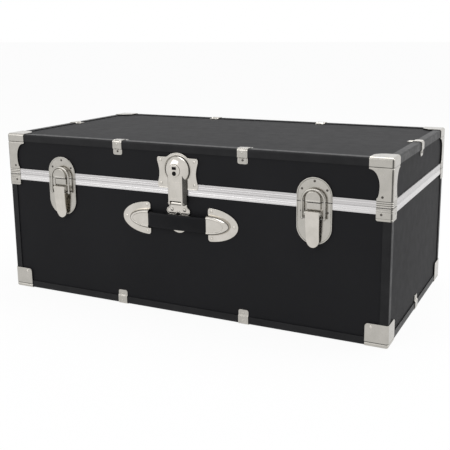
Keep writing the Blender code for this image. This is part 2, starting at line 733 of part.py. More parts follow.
def add_latches(base, lid):
    for end, sign in (("left", -1), ("right", 1)):
        middle = sign * (LENGTH / 2 - LATCH_INSET)
        add_catch_plate(f"{end}_catch_plate", middle, lid)
        add_latch_base(f"{end}_latch_base", middle, base)
        lever_axis = axis_empty(f"{end}_lever_axis", on_front(middle, LEVER_Z, LEVER_STAND), base)
        add_lever(f"{end}_lever", middle, lever_axis)
        bail_axis = axis_empty(f"{end}_bail_axis", on_front(middle, BAIL_Z, LEVER_STAND), lever_axis)
        add_bail(f"{end}_bail", middle, bail_axis)


# Lock


def lock_outline():
    """A plate with four ears, waisted sides and a bell that rings the lock head."""
    half = LOCK_WIDTH / 2
    ear_top = PARTING + LOCK_EAR_RISE
    bell = HEAD_RADIUS + LOCK_BELL_MARGIN
    low, high = LID_RIM + LOCK_EAR_HEIGHT, ear_top - LOCK_EAR_HEIGHT
    steps = [step / 8 for step in range(9)]
    waist = [(half - LOCK_WAIST_SAG * sin(pi * t), low + (high - low) * t) for t in steps]
    rise = degrees(asin((ear_top - HEAD_Z) / bell))
    right = [(half - LOCK_EAR_INSET, LID_RIM)] + waist + [(half - LOCK_EAR_INSET, ear_top)]
    return mirrored(right + arc(0, HEAD_Z, bell, bell, rise, 90, 6))


def add_lock_plate(lid):
    plate = add_object("lock_plate", thickened(lock_outline(), on_front, CLEARANCE, PLATE_FACE), lid, NICKEL)
    rail_top = LID_RIM + RAIL_HEIGHT + CLEARANCE
    combine(plate, "DIFFERENCE", trim_cutter(LID_RIM - SINK, rail_top, LOCK_WIDTH), "rail_space")
    binding = HEIGHT - BINDING_REACH - CLEARANCE
    combine(plate, "DIFFERENCE", trim_cutter(binding, HEIGHT, LOCK_WIDTH), "binding_space")
    low = HEAD_Z + BOLT_LENGTH - KEEPER_HEIGHT - KEEPER_SETBACK
    lip_back = PLUG_BACK + SINK + CLEARANCE
    side = BOLT_WIDTH / 2 + 2 * CLEARANCE
    post_outline = rectangle(-side - 2 * KEEPER_GAUGE, low, -side, low + KEEPER_HEIGHT)
    post = thickened(post_outline, on_front, PLATE_FACE - SINK, lip_back + KEEPER_GAUGE)
    combine(plate, "UNION", post, "keeper_post")
    lip_outline = rectangle(-side - KEEPER_GAUGE, low + SINK, 0.0, low + KEEPER_HEIGHT - SINK)
    lip = thickened(lip_outline, on_front, lip_back, lip_back + KEEPER_GAUGE - SINK / 2)
    combine(plate, "UNION", lip, "keeper_lip")


def add_hasp(axis):
    """A deep pressed arm: the round lock head on its neck, hinged between two cheeks."""
    half = HASP_NECK_WIDTH / 2
    inner = half - HASP_GAUGE
    bm = thickened(keyhole(HEAD_RADIUS, half, HASP_PIVOT_Z, HEAD_Z), on_front, HASP_BACK, HASP_STAND)
    round_face(bm, 1, -SHELL_Y - HASP_STAND, HASP_EDGE_ROUND)
    hasp = add_object("hasp", bm, axis, NICKEL)
    inside = keyhole(HEAD_RADIUS - HASP_GAUGE, inner, HASP_PIVOT_Z - SINK, HEAD_Z)
    hollow = thickened(inside, on_front, 0.0, HASP_STAND - HASP_GAUGE)
    round_face(hollow, 1, -SHELL_Y - HASP_STAND + HASP_GAUGE, HASP_EDGE_ROUND - HASP_GAUGE)
    combine(hasp, "DIFFERENCE", hollow, "hollow")
    slot_top = HASP_PIVOT_Z + HASP_SLOT
    slot = rectangle(-inner, HASP_PIVOT_Z - 2 * SINK, inner, slot_top)
    combine(hasp, "DIFFERENCE", thickened(slot, on_front, 0.0, 2 * HASP_STAND), "slot")
    for label, sign in (("left", -1), ("right", 1)):
        outline = circle(HASP_PIVOT_STAND, HASP_PIVOT_Z, HASP_PIVOT_RADIUS, 20)
        cheek = thickened(outline, across_front, sign * (inner + SINK / 8), sign * (half - SINK / 8))
        combine(hasp, "UNION", cheek, f"{label}_cheek")
    outline = circle(HASP_PIVOT_STAND, HASP_PIVOT_Z, HASP_PIN_RADIUS + RUNNING_CLEARANCE, 16)
    combine(hasp, "DIFFERENCE", thickened(outline, across_front, -LOCK_WIDTH, LOCK_WIDTH), "pin_bores")
    outline = circle(0, HEAD_Z, PLUG_RADIUS + CLEARANCE, 32)
    combine(hasp, "DIFFERENCE", thickened(outline, on_front, PLUG_BACK, 2 * HASP_STAND), "plug_bore")


def add_hasp_foot(base):
    """A plate with two lobes, a knuckle for the hasp's pin and a long tongue behind the grip."""
    top = PARTING - FOOT_TOP_DROP
    bottom = PARTING - FOOT_DROP
    neck = FOOT_NECK_WIDTH / 2
    half = FOOT_WIDTH / 2
    right = [(FOOT_NOTCH_WIDTH / 2, bottom + FOOT_NOTCH_RISE)]
    right += arc(half - 2 * FOOT_LOBE, bottom + FOOT_LOBE, FOOT_LOBE, FOOT_LOBE, -110, -90, 1)
    right += arc(half - FOOT_LOBE, bottom + FOOT_LOBE, FOOT_LOBE, FOOT_LOBE, -90, 20, 5)
    right += [(neck, bottom + 2 * FOOT_LOBE), (neck, top)]
    foot = add_object("hasp_foot", thickened(mirrored(right), on_front, CLEARANCE, PLATE_FACE), base, NICKEL)
    round_end = TONGUE_WIDTH / 2
    right = arc(0, PARTING - TONGUE_DROP + round_end, round_end, round_end, -90, 0, 8)
    right += [(round_end, bottom + FOOT_LOBE)]
    tongue = thickened(mirrored(right), on_front, CLEARANCE, PLATE_BACK)
    combine(foot, "UNION", tongue, "tongue")
    radius = HASP_PIVOT_RADIUS - CLEARANCE
    curve = arc(HASP_PIVOT_STAND, HASP_PIVOT_Z, radius, radius, -90, 90, 8)
    root = PLATE_FACE - SINK
    outline = [(root, HASP_PIVOT_Z - radius)] + curve + [(root, HASP_PIVOT_Z + radius)]
    half_knuckle = FOOT_KNUCKLE_WIDTH / 2
    combine(foot, "UNION", thickened(outline, across_front, -half_knuckle, half_knuckle), "knuckle")
    pin_half = HASP_NECK_WIDTH / 2 + PLATE_GAUGE / 2
    outline = circle(HASP_PIVOT_STAND, HASP_PIVOT_Z, HASP_PIN_RADIUS, 12)
    combine(foot, "UNION", thickened(outline, across_front, -pin_half, pin_half), "pin")


def add_key_plug(axis):
    """The round plug that a key turns, with a flange behind the head and the bolt on its back."""
    bm = thickened(circle(0, HEAD_Z, PLUG_RADIUS, 32), on_front, PLUG_BACK, PLUG_FRONT)
    round_face(bm, 1, -SHELL_Y - PLUG_FRONT, PLUG_EDGE_ROUND, 2)
    plug = add_object("key_plug", bm, axis, NICKEL)
    flange_front = HASP_STAND - HASP_GAUGE - CLEARANCE
    outline = circle(0, HEAD_Z, PLUG_FLANGE_RADIUS, 32)
    flange = thickened(outline, on_front, flange_front - PLUG_FLANGE_GAUGE, flange_front)
    combine(plug, "UNION", flange, "flange")
    outline = rectangle(-BOLT_WIDTH / 2, HEAD_Z - BOLT_WIDTH / 2, BOLT_WIDTH / 2, HEAD_Z + BOLT_LENGTH)
    bolt = thickened(outline, on_front, PLUG_BACK - BOLT_GAUGE, PLUG_BACK + SINK)
    combine(plug, "UNION", bolt, "bolt")
    hole = circle(0, HEAD_Z - KEY_HOLE_DROP, KEY_HOLE_RADIUS, 16)
    hole_back, cut_front = PLUG_FRONT - KEY_DEPTH, 2 * PLUG_FRONT
    combine(plug, "DIFFERENCE", thickened(hole, on_front, hole_back, cut_front), "key_hole")
    low = HEAD_Z + KEY_SLOT_RISE - KEY_SLOT_HEIGHT / 2
    slot = rectangle(-KEY_SLOT_WIDTH / 2, low, KEY_SLOT_WIDTH / 2, low + KEY_SLOT_HEIGHT)
    combine(plug, "DIFFERENCE", thickened(slot, on_front, hole_back, cut_front), "key_slot")


def add_lock(base, lid):
    add_lock_plate(lid)
    add_hasp_foot(base)
    hasp_axis = axis_empty("hasp_axis", on_front(0, HASP_PIVOT_Z, HASP_PIVOT_STAND), base)
    add_hasp(hasp_axis)
    add_key_plug(axis_empty("key_plug_axis", on_front(0, HEAD_Z, HASP_STAND), hasp_axis))


# Handle


def half_oval(start, length, height, sign):
    """A half oval that is flat towards the grip and points away from it."""
    curve = arc(start, GRIP_Z, length, height / 2, -90, 90, 14)
    return [(sign * across, up) for across, up in curve]


def add_handle_cap(name, sign, base):
    """A pressed end cap: a flat flange and a pocket that holds the tang of the grip."""
    start = GRIP_SPAN / 2
    outline = half_oval(start, CAP_LENGTH, CAP_HEIGHT, sign)
    flange = thickened(outline, on_front, CLEARANCE, CLEARANCE + CAP_FLANGE_GAUGE)
    cap = add_object(name, flange, base, NICKEL)
    outline = half_oval(start + SINK, POCKET_LENGTH, POCKET_HEIGHT, sign)
    pocket = thickened(outline, on_front, CLEARANCE + SINK, POCKET_STAND)
    round_edges(pocket, POCKET_EDGE_ROUND, 3, lambda a, b: _on_pocket_rim(a, b, start + SINK))
    combine(cap, "UNION", pocket, "pocket")
    hollow_length = POCKET_LENGTH - POCKET_GAUGE + 2 * SINK
    outline = half_oval(start - SINK, hollow_length, POCKET_HEIGHT - 2 * POCKET_GAUGE, sign)
    combine(cap, "DIFFERENCE", thickened(outline, on_front, 0.0, POCKET_STAND - POCKET_GAUGE), "hollow")


def _on_pocket_rim(a, b, start):
    """True for the front edges of a pocket, apart from the straight one at its mouth."""
    at_front = all(abs(v.y + SHELL_Y + POCKET_STAND) < 1e-6 for v in (a, b))
    at_mouth = all(abs(abs(v.x) - start) < 1e-6 for v in (a, b))
    return at_front and not at_mouth


def add_grip(axis):
    """A slightly bowed grip, with a flat tang at each end that slides out and in inside its cap."""
    half = GRIP_SPAN / 2 - 2 * CLEARANCE
    bow = [half * (step / 8 - 1) for step in range(17)]
    outer = [(across, GRIP_STAND - GRIP_BOW * (across / half) ** 2) for across in bow]
    inner = [(across, stand - GRIP_THICKNESS) for across, stand in reversed(outer)]
    low, high = GRIP_Z - GRIP_HEIGHT / 2, GRIP_Z + GRIP_HEIGHT / 2
    bm = thickened(outer + inner, from_above, low, high)
    round_face(bm, 2, low, GRIP_EDGE_ROUND)
    round_face(bm, 2, high, GRIP_EDGE_ROUND)
    grip = add_object("handle_grip", bm, axis, GRIP_PLASTIC)
    back = CLEARANCE
    end_back = GRIP_STAND - GRIP_BOW - GRIP_THICKNESS
    root_low, root_high = end_back + GRIP_THICKNESS / 3, end_back + 2 * GRIP_THICKNESS / 3
    root, neck, reach = half - GRIP_THICKNESS, half - GRIP_THICKNESS / 2, half + TANG_LENGTH
    tang_low, tang_high = GRIP_Z - TANG_HEIGHT / 2, GRIP_Z + TANG_HEIGHT / 2
    for label, sign in (("left", -1), ("right", 1)):
        outline = [(root, root_high), (root, root_low), (neck, back), (reach, back)]
        outline += [(reach, back + TANG_GAUGE), (half, back + TANG_GAUGE)]
        outline = [(sign * across, stand) for across, stand in outline]
        tang = thickened(outline, from_above, tang_low, tang_high)
        combine(grip, "UNION", tang, f"{label}_tang")


def add_handle(base):
    add_handle_cap("left_handle_cap", -1, base)
    add_handle_cap("right_handle_cap", 1, base)
    add_grip(axis_empty("grip_slide", on_front(0, GRIP_Z, GRIP_STAND), base))


# Hinges


def hinge_leaf(name, direction, knuckles, parent, middle):
    """A leaf that stands above or below the axis, with the knuckles that it carries."""
    rim = PARTING + direction * (HINGE_KNUCKLE_RADIUS + 2 * CLEARANCE)
    end = PARTING + direction * LEAF_HEIGHT
    low, high = min(rim, end), max(rim, end)
    outline = shifted(rounded_rectangle(LEAF_WIDTH / 2, low, high, LEAF_ROUND), middle)
    leaf = add_object(name, thickened(outline, on_back, CLEARANCE, PLATE_FACE), parent, NICKEL)
    rail_end = PARTING + direction * (RAIL_HEIGHT + 2 * CLEARANCE)
    space = rectangle(-LEAF_WIDTH, min(PARTING, rail_end), LEAF_WIDTH, max(PARTING, rail_end))
    combine(leaf, "DIFFERENCE", thickened(shifted(space, middle), on_back, 0.0, PLATE_BACK), "rail_space")
    radius = HINGE_KNUCKLE_RADIUS
    for index, (start, finish_at) in enumerate(knuckles):
        root = rim + direction * LEAF_ROUND
        curve = arc(HINGE_STAND, PARTING, radius, radius, -180 * direction, 90 * direction, 12)
        outline = curve + [(PLATE_FACE - SINK / 2, root), (HINGE_STAND - radius, root)]
        barrel = thickened(outline, across_back, middle + start, middle + finish_at)
        combine(leaf, "UNION", barrel, f"knuckle_{index + 1}")
    bore = circle(HINGE_STAND, PARTING, HINGE_PIN_RADIUS + RUNNING_CLEARANCE, 16)
    cutter = thickened(bore, across_back, middle - LEAF_WIDTH, middle + LEAF_WIDTH)
    combine(leaf, "DIFFERENCE", cutter, "bore")


def add_hinges(base, lid):
    half = LEAF_WIDTH / 2 - LEAF_ROUND
    third = half / 3
    outer = [(-half, -third - CLEARANCE), (third + CLEARANCE, half)]
    for end, sign in (("left", -1), ("right", 1)):
        middle = sign * (LENGTH / 2 - HINGE_INSET)
        hinge_leaf(f"{end}_hinge_base_leaf", -1, outer, base, middle)
        hinge_leaf(f"{end}_hinge_lid_leaf", 1, [(-third, third)], lid, middle)
        outline = circle(HINGE_STAND, PARTING, HINGE_PIN_RADIUS, 12)
        pin = thickened(outline, across_back, middle - half, middle + half)
        add_object(f"{end}_hinge_pin", pin, base, STEEL)


def main():
    clear_scene()
    trunk = axis_empty("trunk", (0.0, 0.0, 0.0))
    trunk.location = (0.0, CARCASS_Y, 0.0)
    lid = axis_empty("lid_axis", on_back(0, PARTING, HINGE_STAND), trunk)
    add_walls("base", BOARD_INSET, BASE_BOARD_TOP, trunk)
    add_flat_board("base_bottom_board", BOARD_INSET, BOARD_INSET + BOARD, trunk)
    add_walls("lid", LID_BOARD_BOTTOM, HEIGHT - BOARD_INSET, lid)
    add_flat_board("lid_top_board", HEIGHT - BOARD_INSET - BOARD, HEIGHT - BOARD_INSET, lid)
    add_base_binding(trunk)
    add_lid_binding(lid)
    add_base_rail(trunk)
    add_lid_rail(lid)
    add_corners(trunk, lid)
    add_clamps("base", 0.0, 1, trunk)
    add_clamps("lid", HEIGHT, -1, lid)
    add_latches(trunk, lid)
    add_lock(trunk, lid)
    add_handle(trunk)
    add_hinges(trunk, lid)


main()
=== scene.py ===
"""The looks of the footlocker: pressed nickel hardware, drawn rails, fibre binding and grained vinyl.

Metres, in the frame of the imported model: +Z up, the front looks along -Y. Sizes that the model
already holds are read from its nodes. A stand-off is a distance in front of the front boards.
"""

import json
from math import asin, cos, degrees, pi, radians, sin, sqrt

import bmesh
import bpy
from mathutils import Matrix, Vector


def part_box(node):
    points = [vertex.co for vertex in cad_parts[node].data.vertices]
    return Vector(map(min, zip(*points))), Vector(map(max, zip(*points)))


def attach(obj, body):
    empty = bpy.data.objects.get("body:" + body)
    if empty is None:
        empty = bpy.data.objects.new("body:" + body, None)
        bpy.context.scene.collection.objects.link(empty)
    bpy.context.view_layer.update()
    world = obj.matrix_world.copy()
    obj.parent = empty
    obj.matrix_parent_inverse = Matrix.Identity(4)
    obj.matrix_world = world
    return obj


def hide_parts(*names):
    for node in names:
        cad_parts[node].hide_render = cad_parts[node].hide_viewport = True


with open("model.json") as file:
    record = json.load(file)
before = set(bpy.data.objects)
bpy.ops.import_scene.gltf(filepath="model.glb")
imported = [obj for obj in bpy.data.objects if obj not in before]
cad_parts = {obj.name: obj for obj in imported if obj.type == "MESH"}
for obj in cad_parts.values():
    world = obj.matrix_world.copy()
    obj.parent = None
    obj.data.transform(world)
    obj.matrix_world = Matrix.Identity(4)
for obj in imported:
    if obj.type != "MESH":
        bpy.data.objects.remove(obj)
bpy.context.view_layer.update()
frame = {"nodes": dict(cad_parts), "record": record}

# Places of the frame
FRONT_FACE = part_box("base_front_board")[0][1]
BACK_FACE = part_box("base_back_board")[1][1]
LOW = Vector(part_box("base_corner_front_left")[0])
HIGH = Vector(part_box("lid_corner_back_right")[1])
MIDDLE_Y = (LOW.y + HIGH.y) / 2
TOP = HIGH.z
LID_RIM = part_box("lid_rail")[0][2]
RAIL_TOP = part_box("lid_rail")[1][2]
BASE_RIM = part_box("rail_corner_front_right")[1][2]
RAIL_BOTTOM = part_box("base_rail")[0][2]
PARTING = (LID_RIM + BASE_RIM) / 2
BINDING_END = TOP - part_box("lid_edge_binding")[0][2]
LATCH_X = (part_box("right_lever")[0][0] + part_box("right_lever")[1][0]) / 2
ENDS = (("left", -1), ("right", 1))
SIDES = (("front", -1), ("back", 1))
TURN_FORWARDS = (pi / 2, 0, 0)
TURN_ACROSS = (0, pi / 2, 0)

# Gauges and roundings
SHEET = 0.0010
FOLD = 0.0044
EDGE_SOFT = 0.00042
PLATE_BACK = 0.0003
PLATE_FACE = 0.0033
RIM_WIDTH = 0.0017
RIM_SLOPE = 0.0007
RIM_STEP = 0.0009
GROOVE = 0.0005
GROOVE_HALF = 0.0009
NAIL_RADIUS = 0.0021
NAIL_RISE = 0.0009
STUD_RADIUS = 0.0027
STUD_RISE = 0.0012
RIVET_RADIUS = 0.0034
RIVET_RISE = 0.0017
END_SINK = 0.75

nails = {"base": [], "lid": []}
bright_nails = {"base": [], "lid": []}
rivets = {"base": [], "lid": []}
studs = {"base": [], "lid": []}


# Modelling helpers


def start(kind, **settings):
    """Add a primitive at its size and place, and go into edit mode on it."""
    bpy.ops.object.select_all(action="DESELECT")
    adders = {
        "cube": bpy.ops.mesh.primitive_cube_add,
        "plane": bpy.ops.mesh.primitive_plane_add,
        "circle": bpy.ops.mesh.primitive_circle_add,
        "cylinder": bpy.ops.mesh.primitive_cylinder_add,
        "sphere": bpy.ops.mesh.primitive_uv_sphere_add,
        "torus": bpy.ops.mesh.primitive_torus_add,
    }
    adders[kind](**settings)
    bpy.ops.object.transform_apply(location=True, rotation=True, scale=True)
    piece = bpy.context.object
    bpy.ops.object.mode_set(mode="EDIT")
    return piece


def stop():
    bpy.ops.object.mode_set(mode="OBJECT")
    return bpy.context.object


def start_block(low, high):
    """Start a box between two corners."""
    low, high = Vector(low), Vector(high)
    return start("cube", size=1, location=(low + high) / 2, scale=high - low)


def box_of(node):
    """The lowest and the highest corner of a node."""
    return [Vector(corner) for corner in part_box(node)]


def half_width(node):
    low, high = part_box(node)
    return (high[0] - low[0]) / 2


def pick(piece):
    """Select one piece alone and make it active."""
    bpy.ops.object.select_all(action="DESELECT")
    piece.select_set(True)
    bpy.context.view_layer.objects.active = piece


def discard(*pieces):
    for piece in pieces:
        bpy.data.objects.remove(piece, do_unlink=True)


def choose_all():
    bpy.ops.mesh.select_all(action="SELECT")


def choose_all_faces():
    bpy.ops.mesh.select_mode(type="FACE")
    choose_all()


def choose(test, kind="FACE"):
    """Select only the vertices, edges or faces that a test picks."""
    bpy.ops.mesh.select_mode(type=kind)
    bpy.ops.mesh.select_all(action="DESELECT")
    mesh = bpy.context.edit_object.data
    bm = bmesh.from_edit_mesh(mesh)
    items = {"VERT": bm.verts, "EDGE": bm.edges, "FACE": bm.faces}[kind]
    for item in items:
        if test(item):
            item.select_set(True)
    bm.select_flush_mode()
    bmesh.update_edit_mesh(mesh)


def cut(axis, level, clear=None):
    """Bisect everything at one level of an axis, and clear one side if asked."""
    place, normal = Vector((0, 0, 0)), Vector((0, 0, 0))
    place[axis], normal[axis] = level, 1.0
    choose_all()
    bpy.ops.mesh.bisect(
        plane_co=place,
        plane_no=normal,
        clear_inner=clear == "below",
        clear_outer=clear == "above",
        threshold=1e-6,
    )


def move(x=0.0, y=0.0, z=0.0):
    bpy.ops.transform.translate(value=(x, y, z))


def resize(centre, x=1.0, y=1.0, z=1.0):
    bpy.ops.transform.resize(value=(x, y, z), center_override=centre)


def bevel(width, segments, kind="EDGES"):
    bpy.ops.mesh.bevel(offset=width, segments=segments, affect=kind, profile=0.5)


def inset(*widths):
    for width in widths:
        bpy.ops.mesh.inset(thickness=width, depth=0)


def drop_faces(test):
    choose(test)
    bpy.ops.mesh.delete(type="FACE")


def face_outwards():
    choose_all()
    bpy.ops.mesh.normals_make_consistent(inside=False)


def extrude(x=0.0, y=0.0, z=0.0):
    bpy.ops.mesh.extrude_region_move(TRANSFORM_OT_translate={"value": (x, y, z)})


def groove(axis, level, depth=GROOVE, half=GROOVE_HALF):
    """Press a shallow groove across a sheet."""
    for share in (-1.0, -0.4, 0.4, 1.0):
        cut(axis, level + share * half)
    choose(lambda v: abs(v.co[axis] - level) < 0.6 * half, "VERT")
    bpy.ops.transform.shrink_fatten(value=-depth)


def tuck_edge(level, upwards, width=0.0007, depth=0.0004):
    """Roll the edge of a sheet inwards where it ends at the parting."""
    cut(2, level + upwards * width)
    choose(lambda v: abs(v.co.z - level) < 1e-5, "VERT")
    bpy.ops.transform.shrink_fatten(value=-depth)


def pull_row(piece_test, x=0.0, y=0.0, z=0.0):
    choose(piece_test, "VERT")
    move(x, y, z)


def modify(piece, kind, **settings):
    """Add a modifier, set it and apply it."""
    pick(piece)
    step = piece.modifiers.new(kind.lower(), kind)
    for key, value in settings.items():
        setattr(step, key, value)
    bpy.ops.object.modifier_apply(modifier=step.name)
    return piece


def gauge(piece, thickness=SHEET):
    """Give a sheet its metal, on the inner side."""
    return modify(piece, "SOLIDIFY", thickness=thickness, offset=-1.0, use_even_offset=True)


def soften(piece, width=EDGE_SOFT, segments=2, angle=40):
    limit = radians(angle)
    modify(piece, "BEVEL", width=width, segments=segments, limit_method="ANGLE", angle_limit=limit)
    return piece


def cut_away(piece, cutter):
    """Cut one shape out of another, and throw the cutter away."""
    modify(piece, "BOOLEAN", operation="DIFFERENCE", solver="EXACT", object=cutter)
    discard(cutter)
    return piece


def join(piece, others):
    pick(piece)
    for other in others:
        other.select_set(True)
    bpy.ops.object.join()
    return piece


def shade(piece, angle=38):
    """Shade the roundings smooth, and keep the flat faces flat beside them."""
    pick(piece)
    bpy.ops.object.shade_smooth_by_angle(angle=radians(angle))
    return modify(piece, "WEIGHTED_NORMAL", keep_sharp=True)


def face_front():
    """Turn a flat outline so that it looks forwards."""
    choose_all()
    bm = bmesh.from_edit_mesh(bpy.context.edit_object.data)
    bm.normal_update()
    if sum(face.normal.y for face in bm.faces) > 0:
        bpy.ops.mesh.flip_normals()


def copy_of(piece, name, matrix, mirrored=False):
    """A copy with its own mesh, moved or mirrored by a matrix."""
    made = bpy.data.objects.new(name, piece.data.copy())
    bpy.context.scene.collection.objects.link(made)
    made.data.transform(matrix)
    if mirrored:
        made.data.flip_normals()
    return made


def mirror_matrix(flip_x, flip_y):
    scale = Matrix.Diagonal((-1 if flip_x else 1, -1 if flip_y else 1, 1, 1))
    if not flip_y:
        return scale
    return Matrix.Translation((0, 2 * MIDDLE_Y, 0)) @ scale


def keep(piece, name, body, finish, nodes=()):
    """Name a finished piece, give it its finish and hang it on its body."""
    piece.name = name
    piece.data.name = name
    piece.data.materials.clear()
    piece.data.materials.append(finish)
    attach(piece, body)
    if nodes:
        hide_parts(*nodes)
    return piece


def paint_shade(piece, test):
    """Give the faces that a test picks a darker nickel: painted shade in folds, gaps and pressed
    grooves.
    """
    piece.data.materials.append(PAINTED_SHADE)
    for face in piece.data.polygons:
        if test(face.center, face.normal):
            face.material_index = 1
    return piece


def stand(distance):
    """The place along Y at a stand-off from the front boards."""
    return FRONT_FACE - distance


def draw_outline(points, distance):
    """Draw a closed outline on the front, vertex by vertex, and fill it."""
    places = [Vector((x, stand(distance), z)) for x, z in points]
    piece = start("plane", size=0.001, location=places[0])
    bpy.ops.mesh.select_mode(type="VERT")
    bpy.ops.mesh.merge(type="CENTER")
    here = places[0]
    choose_all()
    for there in places[1:]:
        extrude(*(there - here))
        here = there
    choose_all()
    bpy.ops.mesh.edge_face_add()
    face_front()
    return piece


def arc(x, z, radius_x, radius_z, first, last, count):
    turns = [radians(first + (last - first) * step / count) for step in range(count + 1)]
    return [(x + radius_x * cos(turn), z + radius_z * sin(turn)) for turn in turns]


def both_halves(right):
    return right + [(-x, z) for x, z in reversed(right) if x > 1e-9]


def start_circle(place, radius, count, turn=(0, 0, 0)):
    """Start a filled circle; turned by nothing, it looks up."""
    start("circle", vertices=count, radius=radius, fill_type="NGON", location=place, rotation=turn)


def disc(x, z, radius, distance, count=48):
    """A filled circle that looks forwards."""
    start_circle((x, stand(distance), z), radius, count, TURN_FORWARDS)
    face_front()


def raise_rim(width=RIM_WIDTH, slope=RIM_SLOPE, step=RIM_STEP):
    """Leave a raised rim round a flat plate and sink its field."""
    choose_all_faces()
    inset(width, slope)
    move(y=step)


def give_depth(distance):
    """Extrude a flat plate back by a distance."""
    choose_all_faces()
    extrude(y=distance)
    face_outwards()


# Finishes


def set_inputs(node, values):
    for name, value in values.items():
        node.inputs[name].default_value = value


class Finish:
    """A procedural material on Object coordinates."""

    def __init__(self, name, colour, roughness, metallic=0.0, specular=0.5):
        self.material = bpy.data.materials.new(name)
        self.material.use_nodes = True
        self.nodes = self.material.node_tree.nodes
        self.links = self.material.node_tree.links
        self.shader = self.nodes["Principled BSDF"]
        values = {"Base Color": (*colour, 1), "Roughness": roughness, "Metallic": metallic}
        set_inputs(self.shader, {**values, "Specular IOR Level": specular})
        self.place = self.nodes.new("ShaderNodeTexCoord").outputs["Object"]

    def add(self, kind, source, socket, values):
        """Add a node with its values, fed by a source."""
        made = self.nodes.new("ShaderNode" + kind)
        set_inputs(made, values)
        self.links.new(source, made.inputs[socket])
        return made

    def stretched(self, scale):
        return self.add("Mapping", self.place, "Vector", {"Scale": scale}).outputs["Vector"]

    def noise(self, scale, detail=4.0, vector=None):
        values = {"Scale": scale, "Detail": detail}
        return self.add("TexNoise", vector or self.place, "Vector", values).outputs["Fac"]

    def cells(self, scale):
        made = self.add("TexVoronoi", self.place, "Vector", {"Scale": scale})
        made.feature = "SMOOTH_F1"
        made.inputs["Smoothness"].default_value = 0.45
        return made.outputs["Distance"]

    def tint(self, source, dark, light):
        """Colour from dark to light, between the usual limits of a noise."""
        ramp = self.nodes.new("ShaderNodeValToRGB")
        for stop_at, place, colour in zip(ramp.color_ramp.elements, (0.32, 0.68), (dark, light)):
            stop_at.position = place
            stop_at.color = (*colour, 1)
        self.links.new(source, ramp.inputs["Fac"])
        self.links.new(ramp.outputs["Color"], self.shader.inputs["Base Color"])

    def roughen(self, source, low, high):
        """Roughness from low to high, between the usual limits of a noise."""
        values = {"From Min": 0.3, "From Max": 0.7, "To Min": low, "To Max": high}
        made = self.add("MapRange", source, "Value", values)
        self.links.new(made.outputs["Result"], self.shader.inputs["Roughness"])

    def bump(self, sources, strength, distance):
        """Chain bumps from one or more heights."""
        normal = None
        for source in sources:
            made = self.add("Bump", source, "Height", {"Strength": strength, "Distance": distance})
            if normal is not None:
                self.links.new(normal, made.inputs["Normal"])
            normal = made.outputs["Normal"]
        self.links.new(normal, self.shader.inputs["Normal"])


def vinyl_finish():
    """Black vinyl with a fine leather grain."""
    made = Finish("black_vinyl_grain", (0.014, 0.014, 0.015), 0.58, specular=0.07)
    made.tint(made.noise(9.0, 3.0), (0.0134, 0.0134, 0.0146), (0.0150, 0.0150, 0.0163))
    made.roughen(made.noise(60.0), 0.54, 0.59)
    made.bump([made.cells(620.0), made.noise(1500.0, 2.0)], 0.35, 0.00010)
    return made.material


def fibre_finish():
    """Pressed black fibre strip, smoother than the vinyl."""
    made = Finish("black_fibre_strip", (0.011, 0.011, 0.012), 0.42, specular=0.17)
    made.tint(made.noise(35.0, 5.0), (0.0090, 0.0090, 0.0100), (0.0150, 0.0150, 0.0160))
    made.roughen(made.noise(120.0), 0.36, 0.48)
    made.bump([made.noise(700.0, 6.0)], 0.25, 0.00008)
    return made.material


def nickel_finish(name, dark, light, smooth, rough):
    """Nickel over pressed steel, with the faint unevenness of thin plate."""
    made = Finish(name, light, rough, metallic=1.0)
    made.tint(made.noise(55.0, 4.0), dark, light)
    made.roughen(made.noise(160.0, 6.0), smooth, rough)
    made.bump([made.noise(45.0, 2.0), made.noise(900.0, 3.0)], 0.10, 0.00010)
    return made.material


def rail_finish(name, dark, light):
    """Drawn metal rail, with fine lines that run along it."""
    made = Finish(name, light, 0.3, metallic=1.0)
    lines = made.noise(1.0, 3.0, made.stretched((3.0, 3.0, 2600.0)))
    made.tint(lines, dark, light)
    made.roughen(made.noise(90.0), 0.24, 0.36)
    made.bump([lines], 0.12, 0.00008)
    return made.material


def nail_finish():
    """Dark steel nails, much darker than the nickel."""
    made = Finish("steel_nail", (0.10, 0.09, 0.08), 0.3, metallic=1.0)
    made.tint(made.noise(300.0), (0.060, 0.055, 0.050), (0.120, 0.110, 0.100))
    made.roughen(made.noise(500.0), 0.22, 0.38)
    return made.material


def pin_finish():
    made = Finish("steel_pin", (0.50, 0.50, 0.50), 0.3, metallic=1.0)
    made.roughen(made.noise(400.0), 0.22, 0.40)
    made.bump([made.noise(1200.0)], 0.1, 0.00005)
    return made.material


def grip_finish():
    """Black moulded grip with a soft skin."""
    made = Finish("moulded_grip", (0.008, 0.008, 0.009), 0.42, specular=0.10)
    made.tint(made.noise(50.0), (0.0065, 0.0065, 0.0075), (0.0095, 0.0095, 0.0105))
    made.roughen(made.noise(200.0), 0.36, 0.48)
    made.bump([made.cells(1100.0), made.noise(400.0, 3.0)], 0.22, 0.00008)
    return made.material


def keyway_shade_finish():
    """Black in the keyway: painted shade at the bottom of the key slot and the hole."""
    made = Finish("keyway_painted_shade", (0.004, 0.004, 0.004), 0.6, specular=0.1)
    made.tint(made.noise(900.0), (0.0030, 0.0030, 0.0030), (0.0060, 0.0060, 0.0060))
    made.bump([made.noise(1500.0)], 0.2, 0.00005)
    return made.material


def paper_finish():
    """Plain grey lining paper, with loose fibres in it."""
    made = Finish("lining_paper", (0.30, 0.29, 0.27), 0.85, specular=0.2)
    made.tint(made.noise(420.0, 8.0), (0.235, 0.225, 0.205), (0.345, 0.335, 0.310))
    made.roughen(made.noise(80.0), 0.78, 0.92)
    made.bump([made.noise(650.0, 6.0)], 0.25, 0.00010)
    return made.material


